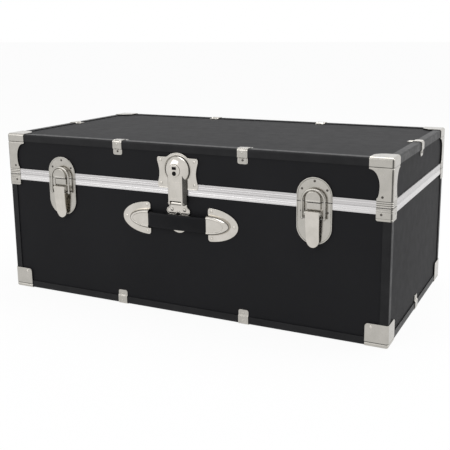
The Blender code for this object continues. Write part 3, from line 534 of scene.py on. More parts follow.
NICKEL = nickel_finish("nickel_plate", (0.435, 0.420, 0.385), (0.490, 0.470, 0.435), 0.16, 0.28)
POLISHED = nickel_finish("polished_nickel", (0.550, 0.525, 0.480), (0.620, 0.590, 0.545), 0.10, 0.18)
RAIL = rail_finish("drawn_rail", (0.56, 0.55, 0.55), (0.76, 0.745, 0.745))
LID_RAIL = rail_finish("drawn_lid_rail", (0.44, 0.43, 0.43), (0.64, 0.625, 0.625))
VINYL = vinyl_finish()
FIBRE = fibre_finish()
GRIP = grip_finish()
# A darker copy of the nickel, laid on chosen faces as painted shade in folds, gaps, grooves and on
# turned-away sides.
PAINTED_SHADE = nickel_finish("nickel_painted_shade", (0.085, 0.082, 0.075), (0.150, 0.145, 0.135), 0.22, 0.36)
NAIL = nail_finish()
PIN = pin_finish()
PAPER = paper_finish()
KEYWAY_SHADE = keyway_shade_finish()


def dress_nodes():
    """Give every node of the model the finish of its slot."""
    finishes = {
        "nickel": NICKEL,
        "rail_metal": RAIL,
        "black_vinyl": VINYL,
        "black_fibre": FIBRE,
        "grip_plastic": GRIP,
        "pin_steel": PIN,
    }
    slots = {part["node"]: part["material_slot"] for part in frame["record"]["subparts"]}
    for name, node in frame["nodes"].items():
        node.data.materials.clear()
        node.data.materials.append(finishes[slots[name]])


# Corners


LID_REACH = HIGH.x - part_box("lid_corner_front_right")[0][0]
LEG_SHOULDER = 0.0190
LEG_WAIST = 0.0220
LEG_FOOT = 0.0265
LEG_FOOT_TOP = (TOP - LID_RIM) - 0.0145
LEG_WAIST_DROP = LEG_SHOULDER + (LEG_FOOT_TOP - LEG_SHOULDER) * 0.58
FLANGE_ROUND = 0.0200


def three_faces(node, opens, fold=FOLD):
    """The front, end and flat faces of a corner, with their folds rounded."""
    low, high = box_of(node)
    start_block(low, high)
    drop_faces(lambda f: f.normal.x < -0.9 or f.normal.y > 0.9 or f.normal.z * opens > 0.9)
    choose(lambda e: len(e.link_faces) == 2, "EDGE")
    bevel(fold, 5)
    return low, high


def round_corner(radius, segments=8, **levels):
    """Round the sheet at the corner that lies at the given levels."""
    choose(lambda v: near(v, **levels), "VERT")
    bevel(radius, segments, "VERTICES")


def near(v, x=None, y=None, z=None, reach=1e-5):
    """True if a vertex lies at the given levels."""
    pairs = ((v.co.x, x), (v.co.y, y), (v.co.z, z))
    return all(level is None or abs(value - level) < reach for value, level in pairs)


def lid_leg_rows():
    """Depths under the top and the reach of the leg there, down its scalloped edge."""
    rows = []
    for step in range(1, 11):
        turn = radians(90 * step / 10)
        depth = LEG_WAIST_DROP - (LEG_WAIST_DROP - LEG_SHOULDER) * cos(turn)
        rows.append((depth, LID_REACH - (LID_REACH - LEG_WAIST) * sin(turn)))
    for step in range(1, 7):
        turn = radians(90 * step / 6)
        depth = LEG_WAIST_DROP + (LEG_FOOT_TOP - LEG_WAIST_DROP) * sin(turn)
        rows.append((depth, LEG_FOOT - (LEG_FOOT - LEG_WAIST) * cos(turn)))
    rows.append((TOP - LID_RIM, LEG_FOOT))
    return rows


def model_lid_corner():
    low, high = three_faces("lid_corner_front_right", opens=-1)
    round_corner(FLANGE_ROUND, x=low.x, y=high.y, z=high.z)
    rows = [(TOP - depth, LID_REACH - reach) for depth, reach in lid_leg_rows()]
    for level in [TOP - LEG_SHOULDER] + [level for level, _ in rows[:-1]]:
        cut(2, level)
    for level, inwards in rows:
        pull_row(lambda v: near(v, x=low.x, y=low.y, z=level), x=inwards)
        pull_row(lambda v: near(v, x=high.x, y=high.y, z=level), y=-inwards)
    groove(2, TOP - 0.0168, depth=0.0008, half=0.0013)
    for height in (0.0030, 0.0062, 0.0094):
        groove(2, LID_RIM + height, depth=0.0005, half=0.0009)
    tuck_edge(LID_RIM, 1)
    return soften(gauge(stop()))


def model_base_corner():
    low, high = three_faces("base_corner_front_right", opens=1)
    round_corner(FLANGE_ROUND, x=low.x, y=high.y, z=low.z)
    round_corner(0.0060, x=low.x, y=low.y, z=high.z)
    round_corner(0.0060, x=high.x, y=high.y, z=high.z)
    groove(2, 0.0070, depth=0.0008, half=0.0013)
    return soften(gauge(stop()))


def model_rail_corner():
    low, high = box_of("rail_corner_front_right")
    start_block(low, high)
    drop_faces(lambda f: f.normal.x < -0.9 or f.normal.y > 0.9 or abs(f.normal.z) > 0.9)
    choose(lambda e: len(e.link_faces) == 2, "EDGE")
    bevel(FOLD, 5)
    round_corner(0.0030, 5, x=low.x, y=low.y, z=low.z)
    round_corner(0.0030, 5, x=high.x, y=high.y, z=low.z)
    for drop in (0.0035, 0.0068):
        groove(2, high.z - drop, depth=0.0004, half=0.0008)
    groove(2, low.z + 0.0035, depth=0.0004, half=0.0008)
    tuck_edge(BASE_RIM, -1)
    return soften(gauge(stop()))


def by_parting(place, normal):
    """The tucked edges of the pressed pieces where the lid meets the base, which get painted shade."""
    return abs(place.z - PARTING) < 0.0011


def on_fold(place, normal):
    """The part of the upright fold that turns away from the front, the grooves and the parting: the
    faces that get painted shade.
    """
    turned = 0.30 < abs(normal.x) < 0.72 and abs(normal.z) < 0.2
    return turned and near_fold(place) or by_parting(place, normal) or in_groove(place, normal)


def in_groove(place, normal):
    """The upper, downward-facing slopes of the grooves pressed across a corner, which get painted shade.
    """
    return place.z > 0.0055 and -0.90 < normal.z < -0.15


def near_fold(place):
    front_or_back = min(abs(place.y - LOW.y), abs(place.y - HIGH.y))
    return HIGH.x - abs(place.x) < FOLD and front_or_back < FOLD


def spread_corner(piece, prefix, body, dark):
    """Four corners from the one at the front right."""
    for side, sign_y in SIDES:
        for end, sign_x in ENDS:
            node = f"{prefix}_{side}_{end}"
            flip_x, flip_y = sign_x < 0, sign_y > 0
            made = copy_of(piece, node, mirror_matrix(flip_x, flip_y), flip_x != flip_y)
            keep(shade(made), f"{node}_pressed", body, NICKEL, [node])
            # Painted shade on the faces that the test picks.
            paint_shade(made, dark)
    discard(piece)


def add_nail_pair(heads, reach, height):
    """Nails on the front and end legs of all four corners."""
    for _, sign_y in SIDES:
        for _, sign_x in ENDS:
            x_face = HIGH.x * sign_x
            y_face = LOW.y if sign_y < 0 else HIGH.y
            heads.append(((x_face - sign_x * reach, y_face, height), (0, sign_y, 0)))
            heads.append(((x_face, y_face - sign_y * reach, height), (sign_x, 0, 0)))


def add_corners():
    spread_corner(model_lid_corner(), "lid_corner", "lid", on_fold)
    spread_corner(model_base_corner(), "base_corner", "base", in_groove)
    spread_corner(model_rail_corner(), "rail_corner", "base", on_fold)
    add_nail_pair(nails["lid"], 0.0170, TOP - 0.0625)
    add_nail_pair(nails["base"], 0.0180, BASE_RIM - 0.0105)
    add_nail_pair(studs["base"], 0.0290, 0.0345)


# Clamps


def model_clamp(node):
    """A clamp on the front edge of the lid, folded over the edge and stepped down to the boards."""
    low, high = box_of(node)
    middle = (low.x + high.x) / 2
    start_block(low, high)
    drop_faces(lambda f: abs(f.normal.x) > 0.9 or f.normal.y > 0.9 or f.normal.z < -0.9)
    choose(lambda e: len(e.link_faces) == 2, "EDGE")
    bevel(FOLD, 5)
    step_top, step_end = BINDING_END + 0.0003, BINDING_END + 0.0023
    drop = 0.0018
    for depth in (step_top, step_end):
        cut(2, high.z - depth)
        cut(1, low.y + depth)
    pull_row(lambda v: v.co.z < high.z - step_end + 1e-5, y=drop)
    pull_row(lambda v: v.co.y > low.y + step_end - 1e-5, z=-drop)
    for x in (low.x, high.x):
        round_corner(0.0035, 5, x=x, z=low.z)
        round_corner(0.0035, 5, x=x, y=high.y)
    for offset in (-0.0063, 0.0063):
        groove(0, middle + offset, depth=0.0005, half=0.0010)
    return soften(gauge(stop()))


def add_clamps():
    source_node = "lid_clamp_front_right"
    source = model_clamp(source_node)
    low, high = box_of(source_node)
    middle = Vector(((low.x + high.x) / 2, LOW.y, TOP))
    leg_nails = [Vector((0, 0, -0.0075)), Vector((0, drop_of(0.0205), -0.0205))]
    flat_nail = Vector((0, 0.0205, -drop_of(0.0205)))
    for body, top in (("lid", True), ("base", False)):
        names = [f"{body}_clamp_{side}_{end}" for side, _ in SIDES for end, _ in ENDS]
        names += [f"{body}_clamp_{end}" for end, _ in ENDS]
        for node in names:
            matrix, mirrored = clamp_place(node, top)
            made = copy_of(source, node, matrix @ Matrix.Translation(-middle), mirrored)
            keep(shade(made), f"{node}_pressed", body, NICKEL, [node])
            outwards = matrix.to_3x3() @ Vector((0, -1, 0))
            bright_nails[body].append((matrix @ leg_nails[0], outwards))
            lower = nails if top else bright_nails
            lower[body].append((matrix @ leg_nails[1], outwards))
            bright_nails[body].append((matrix @ flat_nail, matrix.to_3x3() @ Vector((0, 0, 1))))
    discard(source)


def drop_of(depth):
    """How far a clamp has stepped down at a depth from its fold."""
    return 0.0018 if depth > BINDING_END + 0.0023 else 0.0


def clamp_place(node, top):
    """The matrix that puts a clamp, modelled at the origin, over its edge."""
    low, high = box_of(node)
    flip_z = Matrix.Diagonal((1, 1, 1 if top else -1, 1))
    level = TOP if top else LOW.z
    middle = (low + high) / 2
    if "front" in node or "back" in node:
        turn = Matrix.Identity(4) if "front" in node else Matrix.Rotation(pi, 4, "Z")
        place = Vector((middle.x, LOW.y if "front" in node else HIGH.y, level))
    else:
        turn = Matrix.Rotation(pi / 2 if "right" in node else -pi / 2, 4, "Z")
        place = Vector((high.x if "right" in node else low.x, middle.y, level))
    return Matrix.Translation(place) @ turn @ flip_z, not top


# Nails and rivets


def model_head(radius, rise):
    """A domed head at the origin, which looks along +Z."""
    start("sphere", segments=16, ring_count=10, radius=radius)
    cut(2, -radius * 0.25, clear="below")
    choose_all()
    resize((0, 0, 0), z=rise / radius)
    return stop()


def add_heads(places, name, body, radius, rise, finish):
    """Heads at their places; those on the outermost end faces are hammered nearly flush."""
    source = model_head(radius, rise)
    copies = []
    for index, (place, direction) in enumerate(places):
        place, direction = Vector(place), Vector(direction)
        if abs(place.x) > HIGH.x - 1e-4:
            place -= direction * rise * END_SINK
        turn = direction.to_track_quat("Z", "Y").to_matrix().to_4x4()
        copies.append(copy_of(source, f"{name}_{index}", Matrix.Translation(place) @ turn))
    discard(source)
    made = join(copies[0], copies[1:])
    keep(shade(made, 60), name, body, finish)


# Rails and lining


PAPER_GAP = 0.0004
PAPER_EDGE = 0.0022


def add_rail_faces():
    """The rolled outer face of each rail, with its drawn grooves."""
    rails = (("lid", LID_RIM, RAIL_TOP, LID_RAIL), ("base", RAIL_BOTTOM, BASE_RIM, RAIL))
    for name, bottom, top, finish in rails:
        low, high = box_of(f"{name}_rail")
        proud = Vector((0.0005, 0.0005, 0))
        low, high = low - proud, high + proud
        low.z, high.z = bottom, top
        start_block(low, high)
        drop_faces(lambda f: abs(f.normal.z) > 0.9)
        choose(lambda e: abs(e.verts[0].co.z - e.verts[1].co.z) > 1e-4, "EDGE")
        bevel(0.0030, 4)
        height = top - bottom
        for share in (0.30, 0.62):
            groove(2, bottom + share * height, depth=0.00035, half=0.0008)
        for level in (bottom, top):
            choose(lambda v: near(v, z=level), "VERT")
            bpy.ops.transform.shrink_fatten(value=-0.0004)
        face = modify(stop(), "SOLIDIFY", thickness=0.0004, offset=-1.0)
        keep(shade(face, 50), f"{name}_rail_face", name, finish)


def add_linings():
    """Lining paper on the inner faces of the base and the lid."""
    for body, flat, opens in (("base", "base_bottom_board", 1), ("lid", "lid_top_board", -1)):
        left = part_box(f"{body}_left_board")[1][0] + PAPER_GAP
        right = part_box(f"{body}_right_board")[0][0] - PAPER_GAP
        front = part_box(f"{body}_front_board")[1][1] + PAPER_GAP
        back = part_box(f"{body}_back_board")[0][1] - PAPER_GAP
        flat_low, flat_high = box_of(flat)
        bottom, top = flat_high.z + PAPER_GAP, BASE_RIM - PAPER_EDGE
        if opens < 0:
            bottom, top = LID_RIM + PAPER_EDGE, flat_low.z - PAPER_GAP
        start_block((left, front, bottom), (right, back, top))
        drop_faces(lambda f: f.normal.z * opens > 0.9)
        choose(lambda e: len(e.link_faces) == 2, "EDGE")
        bevel(0.0015, 3)
        choose_all()
        bpy.ops.mesh.flip_normals()
        paper = modify(stop(), "SOLIDIFY", thickness=0.0003, offset=-1.0)
        keep(shade(paper, 50), f"{body}_lining", body, PAPER)


# Latches


LATCH_HALF = half_width("right_latch_base")
LATCH_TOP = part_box("right_catch_plate")[1][2]
LATCH_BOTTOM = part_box("right_latch_base")[0][2]
PIVOT_Z = 0.2130
PIN_STAND = 0.0086
BAIL_Z = 0.2055
BAIL_HALF = half_width("right_bail")
LEVER_HALF = half_width("right_lever")
LEVER_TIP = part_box("right_lever")[0][2]
LEVER_LENGTH = PIVOT_Z - LEVER_TIP
LEVER_TAPER = 0.0014
LEVER_GAUGE = 0.0020
LEVER_TIP_LENGTH = 0.0115
LEVER_PIN_RADIUS = 0.0015
KNUCKLE = 0.0050
EAR_RADIUS = 0.0044
EAR_GAUGE = 0.0015
BOSS_RADIUS = 0.0130
BOSS_Z = 0.2372
BRIDGE_STAND = 0.0075
WIRE_RADIUS = 0.0018
BALL_RADIUS = 0.0026
BAIL_PIN_RADIUS = 0.0014


def latch_plate(upper):
    """One half of the long rounded plate, cut at the parting line."""
    middle = (LATCH_TOP + LATCH_BOTTOM) / 2
    disc(LATCH_X, middle, LATCH_HALF, PLATE_FACE, 64)
    pull_row(lambda v: v.co.z > middle + 1e-5, z=LATCH_TOP - LATCH_HALF - middle)
    pull_row(lambda v: v.co.z < middle - 1e-5, z=LATCH_BOTTOM + LATCH_HALF - middle)
    raise_rim()
    rim, upwards, spare = (LID_RIM, 1, "below") if upper else (BASE_RIM, -1, "above")
    cut(2, rim, clear=spare)
    tuck_edge(rim, upwards)
    give_depth(PLATE_FACE - PLATE_BACK)
    return soften(stop(), 0.0003)


def catch_boss():
    """The arched catch that the bail closes round."""
    front = FRONT_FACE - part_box("right_catch_plate")[0][1]
    right = [(BOSS_RADIUS, LID_RIM + 0.0006)] + arc(0, BOSS_Z, BOSS_RADIUS, BOSS_RADIUS, 0, 90, 12)
    draw_outline([(LATCH_X + x, z) for x, z in both_halves(right)], front)
    bpy.ops.mesh.select_mode(type="FACE")
    inset(0.0012, 0.0014, 0.0008)
    move(y=0.0006)
    give_depth(front - PLATE_FACE + 0.0008)
    choose(lambda e: front_rim_edge(e, stand(front)), "EDGE")
    bevel(0.0010, 3)
    return stop()


def front_rim_edge(edge, level):
    """True for the outer edges of the face at one level along Y."""
    flat = all(abs(v.co.y - level) < 1e-5 for v in edge.verts)
    sides = [abs(face.normal.y) < 0.3 for face in edge.link_faces]
    return flat and any(sides)


def model_catch_plate():
    plate = join(latch_plate(True), [catch_boss()])
    spots = [(LATCH_X, LATCH_TOP - 0.0065)]
    spots += [(LATCH_X + sign * 0.0215, PARTING + 0.0205) for _, sign in ENDS]
    return plate, spots


def rounded_block(low, high, radius, segments=3):
    start_block(low, high)
    choose_all()
    bevel(radius, segments)
    return stop()


def bar_across(x_low, x_high, z, distance, radius, count=20):
    """A round bar along X with softened ends."""
    place = ((x_low + x_high) / 2, stand(distance), z)
    length = x_high - x_low
    start("cylinder", vertices=count, radius=radius, depth=length, location=place, rotation=TURN_ACROSS)
    choose(lambda f: abs(f.normal.x) > 0.9)
    bevel(min(radius * 0.3, length * 0.3), 2)
    return stop()


def ear(x, thickness=EAR_GAUGE):
    """A rounded ear that stands off the plate and holds the lever's pin."""
    place = (x - thickness / 2, stand(PIN_STAND), PIVOT_Z)
    start_circle(place, EAR_RADIUS, 28, TURN_ACROSS)
    centre_y = stand(PIN_STAND)
    choose(lambda v: v.co.y > centre_y + 1e-5, "VERT")
    resize((x, centre_y, PIVOT_Z), y=0.0)
    move(y=PIN_STAND - PLATE_FACE + 0.0008)
    choose_all()
    extrude(x=thickness)
    face_outwards()
    return soften(stop(), 0.0003)


def model_latch_base():
    plate = latch_plate(False)
    ear_middle = LEVER_HALF + 0.0003 + EAR_GAUGE / 2
    parts = [ear(LATCH_X + sign * ear_middle) for _, sign in ENDS]
    low = (LATCH_X - LEVER_HALF, stand(BRIDGE_STAND), PIVOT_Z + 0.0065)
    high = (LATCH_X + LEVER_HALF, stand(PLATE_FACE - 0.0008), BASE_RIM - 0.0006)
    parts.append(rounded_block(low, high, 0.0009))
    reach = LEVER_HALF + 0.0026
    pin = bar_across(LATCH_X - reach, LATCH_X + reach, PIVOT_Z, PIN_STAND, LEVER_PIN_RADIUS, 16)
    parts.append(pin)
    spots = [(LATCH_X + sign * 0.0225, PARTING - 0.0165) for _, sign in ENDS]
    return join(plate, parts), spots


def lever_sweep(depth):
    """How far the lever's face has swept back at a depth under its pivot."""
    share = depth / LEVER_LENGTH
    curve = ((0.0, 0.0), (0.36, 0.0010), (0.58, 0.0022), (0.80, 0.0042), (0.92, 0.0048), (1.0, 0.0040))
    for (before, low), (after, high) in zip(curve, curve[1:]):
        if share <= after + 1e-6:
            return low + (high - low) * (share - before) / (after - before)
    return curve[-1][1]


def lever_half(depth):
    """Half the lever's width, which ends in a long rounded tip."""
    half = LEVER_HALF - LEVER_TAPER * depth / LEVER_LENGTH
    into_tip = (depth - (LEVER_LENGTH - LEVER_TIP_LENGTH)) / LEVER_TIP_LENGTH
    return half * sqrt(max(1 - max(into_tip, 0.0) ** 2, 0.04))


def model_lever():
    """A tapering tongue that sweeps back to its tip, on a knuckle round the pin."""
    front = PIN_STAND + KNUCKLE
    left, right = LATCH_X - LEVER_HALF, LATCH_X + LEVER_HALF
    start_block((left, stand(front), LEVER_TIP), (right, stand(front - LEVER_GAUGE), PIVOT_Z + 0.0039))
    depths = [LEVER_LENGTH * share for share in (0.12, 0.24, 0.36, 0.48, 0.58, 0.67)]
    tip_start = [LEVER_TIP_LENGTH * (1 - sin(pi / 2 * step / 9)) for step in range(10)]
    depths += [LEVER_LENGTH - before for before in tip_start]
    for depth in depths[:-1]:
        cut(2, PIVOT_Z - depth)
    for depth in depths:
        level = PIVOT_Z - depth
        choose(lambda v: near(v, z=level), "VERT")
        resize((LATCH_X, 0, level), x=lever_half(depth) / LEVER_HALF)
        move(y=lever_sweep(depth))
    blade = soften(stop(), 0.0006, 3, 50)
    knuckle = bar_across(left, right, PIVOT_Z, PIN_STAND, KNUCKLE - 0.0006, 32)
    bar = bar_across(left + 0.001, right - 0.001, BAIL_Z, PIN_STAND, 0.0030, 20)
    return join(blade, [knuckle, bar])


def model_bail():
    """A wire loop with a ball at the end of each leg."""
    centre_line = BAIL_HALF - WIRE_RADIUS
    centre_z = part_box("right_bail")[1][2] - BAIL_HALF
    place = (LATCH_X + centre_line, stand(PIN_STAND), centre_z)
    start_circle(place, WIRE_RADIUS, 14)
    choose_all()
    resize(place, y=1.25)
    centre = (LATCH_X, stand(PIN_STAND), centre_z)
    bpy.ops.mesh.spin(steps=24, angle=pi, center=centre, axis=(0, 1, 0))
    choose(lambda f: near_plane(f, centre_z) and abs(f.normal.z) > 0.9)
    extrude(z=BAIL_Z - centre_z)
    choose_all()
    bpy.ops.mesh.remove_doubles(threshold=1e-6)
    face_outwards()
    loop = stop()
    parts = []
    for _, sign in ENDS:
        x = LATCH_X + sign * centre_line
        ball = (x, stand(PIN_STAND), BAIL_Z)
        start("sphere", segments=16, ring_count=12, radius=BALL_RADIUS, location=ball)
        choose_all()
        resize(ball, x=0.85, y=0.9, z=1.1)
        parts.append(stop())
        inner = LATCH_X + sign * (LEVER_HALF - 0.0035)
        low, high = sorted((inner, x))
        parts.append(bar_across(low, high, BAIL_Z, PIN_STAND, BAIL_PIN_RADIUS, 14))
    return join(loop, parts)


def bail_foot(place, normal):
    """The short bars between the bail's balls and the lever, which get painted shade."""
    inside = abs(abs(place.x) - LATCH_X) < BAIL_HALF - WIRE_RADIUS - 0.0024
    return inside and abs(place.z - BAIL_Z) < 0.0016


def near_plane(face, level):
    return all(abs(v.co.z - level) < 1e-5 for v in face.verts)


def add_latches():
    catch_plate, catch_spots = model_catch_plate()
    latch_base, base_spots = model_latch_base()
    lever, bail = model_lever(), model_bail()
    for end, sign in ENDS:
        for source, node, look, body, angle, finish, dark in (
            (catch_plate, "catch_plate", "pressed", "lid", 38, NICKEL, by_parting),
            (latch_base, "latch_base", "pressed", "base", 38, NICKEL, by_parting),
            (lever, "lever", "pressed", f"{end}_lever_arm", 45, POLISHED, None),
            (bail, "bail", "wire", f"{end}_bail_loop", 50, NICKEL, bail_foot),
        ):
            node = f"{end}_{node}"
            made = shade(copy_of(source, node, mirror_matrix(sign < 0, False), sign < 0), angle)
            keep(made, f"{node}_{look}", body, finish, [node])
            # Painted shade along the parting and on the bail's short bars.
            if dark:
                paint_shade(made, dark)
        for body, spots in (("lid", catch_spots), ("base", base_spots)):
            for x, z in spots:
                add_front_head(nails[body], sign * x, PLATE_FACE - RIM_STEP, z)
    discard(catch_plate, latch_base, lever, bail)


# Lock


HEAD_Z = 0.2656
HEAD_RADIUS = 0.0245
SEAM_RADIUS = HEAD_RADIUS - 0.0004
HASP_PIVOT_Z = 0.2065
HASP_PIN_STAND = 0.0072
HASP_BACK = 0.0036
HASP_FRONT = 0.0140
NECK_HALF = 0.0190
NECK_FACE_HALF = 0.0143
NECK_FRONT = 0.0128
CHEEK_REACH = 0.0165


def add_lock_plate():
    """The waisted plate with four ears and the bell round the lock head."""
    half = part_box("lock_plate")[1][0] + 0.0022
    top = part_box("lock_plate")[1][2]
    bell = top - HEAD_Z
    ear_top = 0.2870
    low, high = LID_RIM + 0.0070, ear_top - 0.0070
    rise = (ear_top - HEAD_Z) / bell
    waist = [(half - 0.0040 * sin(pi * step / 16), low + (high - low) * step / 16) for step in range(17)]
    right = [(half - 0.0030, LID_RIM), (half - 0.0010, LID_RIM + 0.0025)] + waist
    right += arc(half - 0.0035, ear_top - 0.0035, 0.0035, 0.0035, 0, 90, 5)
    start_turn = degrees(asin(rise))
    flare = sqrt(bell**2 - (ear_top - HEAD_Z) ** 2)
    right += [(flare + 0.0035, ear_top), (flare + 0.0012, ear_top + 0.0003)]
    right += arc(0, HEAD_Z, bell, bell, start_turn + 3, 90, 10)
    draw_outline(both_halves(right), PLATE_FACE)
    raise_rim(0.0014, 0.0007, 0.0005)
    give_depth(PLATE_FACE - PLATE_BACK)
    plate = soften(stop(), 0.0003)
    parts = [head_ring(HEAD_RADIUS + 0.0016, PLATE_FACE - 0.0004, 10)]
    parts += [head_ring(SEAM_RADIUS, PLATE_FACE - 0.0006, 8), keeper()]
    made = shade(join(plate, parts))
    keep(made, "lock_plate_pressed", "lid", POLISHED, ["lock_plate"])
    # Painted shade in the seam round the lock head.
    paint_shade(made, head_seam)
    for _, sign in ENDS:
        for x, z in ((0.0340, 0.2810), (0.0335, 0.2400)):
            add_front_head(studs["lid"], sign * x, PLATE_FACE - 0.0005, z)


def head_ring(radius, distance, count):
    """A pressed ring round the lock head, open under it."""
    start("torus", major_radius=radius, minor_radius=0.0009, major_segments=72, minor_segments=count,
          location=(0, stand(distance), HEAD_Z), rotation=TURN_FORWARDS)
    cut(2, HEAD_Z - 0.0150, clear="below")
    return stop()


def head_seam(place, normal):
    """The pressed seam that the lock head closes over, painted dark as the shade round the head."""
    reach = sqrt(place.x**2 + (place.z - HEAD_Z) ** 2)
    proud = place.y < stand(PLATE_FACE - 0.0004)
    return abs(reach - SEAM_RADIUS) < 0.0010 and normal.y < 0.5 and proud


def keeper():
    """The small hook behind the lock head that the bolt turns under."""
    low = (-0.0067, stand(0.0112), 0.2796)
    high = (-0.0041, stand(PLATE_FACE - 0.0006), 0.2826)
    post = rounded_block(low, high, 0.0003, 1)
    low = (-0.0054, stand(0.0109), 0.2802)
    lip = rounded_block(low, (0.0, stand(0.0096), 0.2820), 0.0003, 1)
    return join(post, [lip])


def hasp_dome():
    """The round head, which rises in a dome to the plug."""
    disc(0, HEAD_Z, HEAD_RADIUS, HASP_BACK, 72)
    bpy.ops.mesh.select_mode(type="FACE")
    reached = (HEAD_RADIUS, HASP_BACK)
    edge = ((0.0245, 0.0048), (0.0242, 0.0058), (0.0234, 0.0072), (0.0219, 0.0088), (0.0199, 0.0104))
    crown = ((0.0177, 0.0118), (0.0154, 0.0129), (0.0134, 0.0137), (0.0122, HASP_FRONT))
    for radius, distance in edge + crown:
        extrude(y=reached[1] - distance)
        share = radius / reached[0]
        resize((0, stand(distance), HEAD_Z), x=share, z=share)
        reached = (radius, distance)
    face_outwards()
    return stop()


def hasp_neck():
    """The neck, whose sides slope out from a narrower face."""
    low, high = HASP_PIVOT_Z - 0.0100, HEAD_Z
    outline = [(-NECK_HALF, low), (NECK_HALF, low), (NECK_HALF, high), (-NECK_HALF, high)]
    draw_outline(outline, HASP_BACK)
    choose_all_faces()
    extrude(y=-0.0010)
    extrude(y=HASP_BACK + 0.0010 - NECK_FRONT)
    resize((0, 0, HEAD_Z), x=NECK_FACE_HALF / NECK_HALF)
    face_outwards()
    choose(neck_edge, "EDGE")
    bevel(0.0014, 4)
    return stop()


def neck_edge(edge):
    """True for the upright edges of the neck, apart from those at its back."""
    upright = abs(edge.verts[0].co.z - edge.verts[1].co.z) > 0.02
    return upright and edge.verts[0].co.y < stand(HASP_BACK + 0.0005)


def add_hasp():
    """A deep pressed arm: a domed head on a straight neck, open at the back."""
    arm = hasp_dome()
    neck = hasp_neck()
    modify(arm, "BOOLEAN", operation="UNION", solver="EXACT", object=neck)
    discard(neck)
    bpy.ops.object.mode_set(mode="EDIT")
    cut(2, HASP_PIVOT_Z - 0.0020, clear="below")
    drop_faces(lambda f: f.normal.y > 0.9)
    arm = gauge(stop(), 0.0011)
    plug_hole = bar_forwards(0, HEAD_Z, 0.0113, 0.0, 0.03, 48)
    cut_away(arm, plug_hole)
    slot_half = 0.0114
    low = (-slot_half, stand(0.03), HASP_PIVOT_Z - 0.004)
    slot = rounded_block(low, (slot_half, stand(-0.01), HASP_PIVOT_Z + 0.0048), 0.0006, 2)
    cut_away(arm, slot)
    soften(arm, 0.0003, 2)
    parts = []
    for _, sign in ENDS:
        low, high = sorted((sign * (slot_half + 0.0002), sign * CHEEK_REACH))
        parts.append(bar_across(low, high, HASP_PIVOT_Z, HASP_PIN_STAND, 0.0036, 28))
    parts.append(neck_panel())
    made = keep(shade(join(arm, parts)), "hasp_pressed", "hasp_arm", POLISHED, ["hasp"])
    # Painted shade on the sides of the arm.
    paint_shade(made, hasp_side)


def add_plug():
    """The key plug with a square key slot over a round hole, both lined at the bottom with black as
    painted shade.
    """
    plug = frame["nodes"]["key_plug"].copy()
    plug.data = plug.data.copy()
    bpy.context.scene.collection.objects.link(plug)
    pick(plug)
    bpy.ops.object.mode_set(mode="EDIT")
    choose_all()
    bpy.ops.mesh.remove_doubles(threshold=1e-6)
    stop()
    face = FRONT_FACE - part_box("key_plug")[0][1]
    slot_z, hole_z = HEAD_Z + 0.0043, HEAD_Z - 0.0049
    cut_away(plug, bar_forwards(0, hole_z, 0.0041, face - 0.0014, face + 0.01, 32))
    low, high = Vector((-0.0042, 0, slot_z - 0.0026)), Vector((0.0042, 0, slot_z + 0.0026))
    low.y, high.y = stand(face + 0.01), stand(face - 0.0014)
    cut_away(plug, rounded_block(low, high, 0.0006, 2))
    soften(plug, 0.0003, 2)
    keep(shade(plug), "key_plug_turned", "lock_plug", POLISHED, ["key_plug"])
    # Black disc and block at the bottom of the hole and the slot, as painted shade.
    shade_liner = bar_forwards(0, hole_z, 0.00405, face - 0.0016, face - 0.0004, 32)
    low.y, high.y = stand(face - 0.0004), stand(face - 0.0016)
    square = rounded_block(low, high, 0.0005, 2)
    keep(shade(join(shade_liner, [square])), "keyway_shade_liner", "lock_plug", KEYWAY_SHADE)


def hasp_side(place, normal):
    """The sides of the pressed arm, outside its face, which get painted shade."""
    inside = place.y > stand(HASP_BACK + 0.0030)
    if place.z < HEAD_Z - 0.0080 and abs(normal.z) < 0.05:
        return abs(normal.x) > 0.45 and abs(place.x) > NECK_FACE_HALF - 0.0010
    return normal.y > -0.35 and inside


def add_front_head(heads, x, distance, z):
    """A head that looks forwards, at a stand-off."""
    heads.append(((x, stand(distance), z), (0, -1, 0)))


def bar_forwards(x, z, radius, near_stand, far_stand, count):
    place = (x, (stand(near_stand) + stand(far_stand)) / 2, z)
    depth = far_stand - near_stand
    start("cylinder", vertices=count, radius=radius, depth=depth, location=place, rotation=TURN_FORWARDS)
    face_outwards()
    return stop()


def neck_panel():
    """A thin raised frame on the neck, round a bare field."""
    half, low, high = 0.0115, HASP_PIVOT_Z + 0.0085, HEAD_Z - 0.0205
    round_off = 0.0030
    right = arc(half - round_off, low + round_off, round_off, round_off, -90, 0, 4)
    right += arc(half - round_off, high - round_off, round_off, round_off, 0, 90, 4)
    draw_outline(both_halves(right), NECK_FRONT + 0.00035)
    choose_all_faces()
    inset(0.0008)
    bpy.ops.mesh.delete(type="FACE")
    choose_all()
    bpy.ops.mesh.select_mode(type="FACE")
    give_depth(0.0006)
    return soften(stop(), 0.0001, 1)


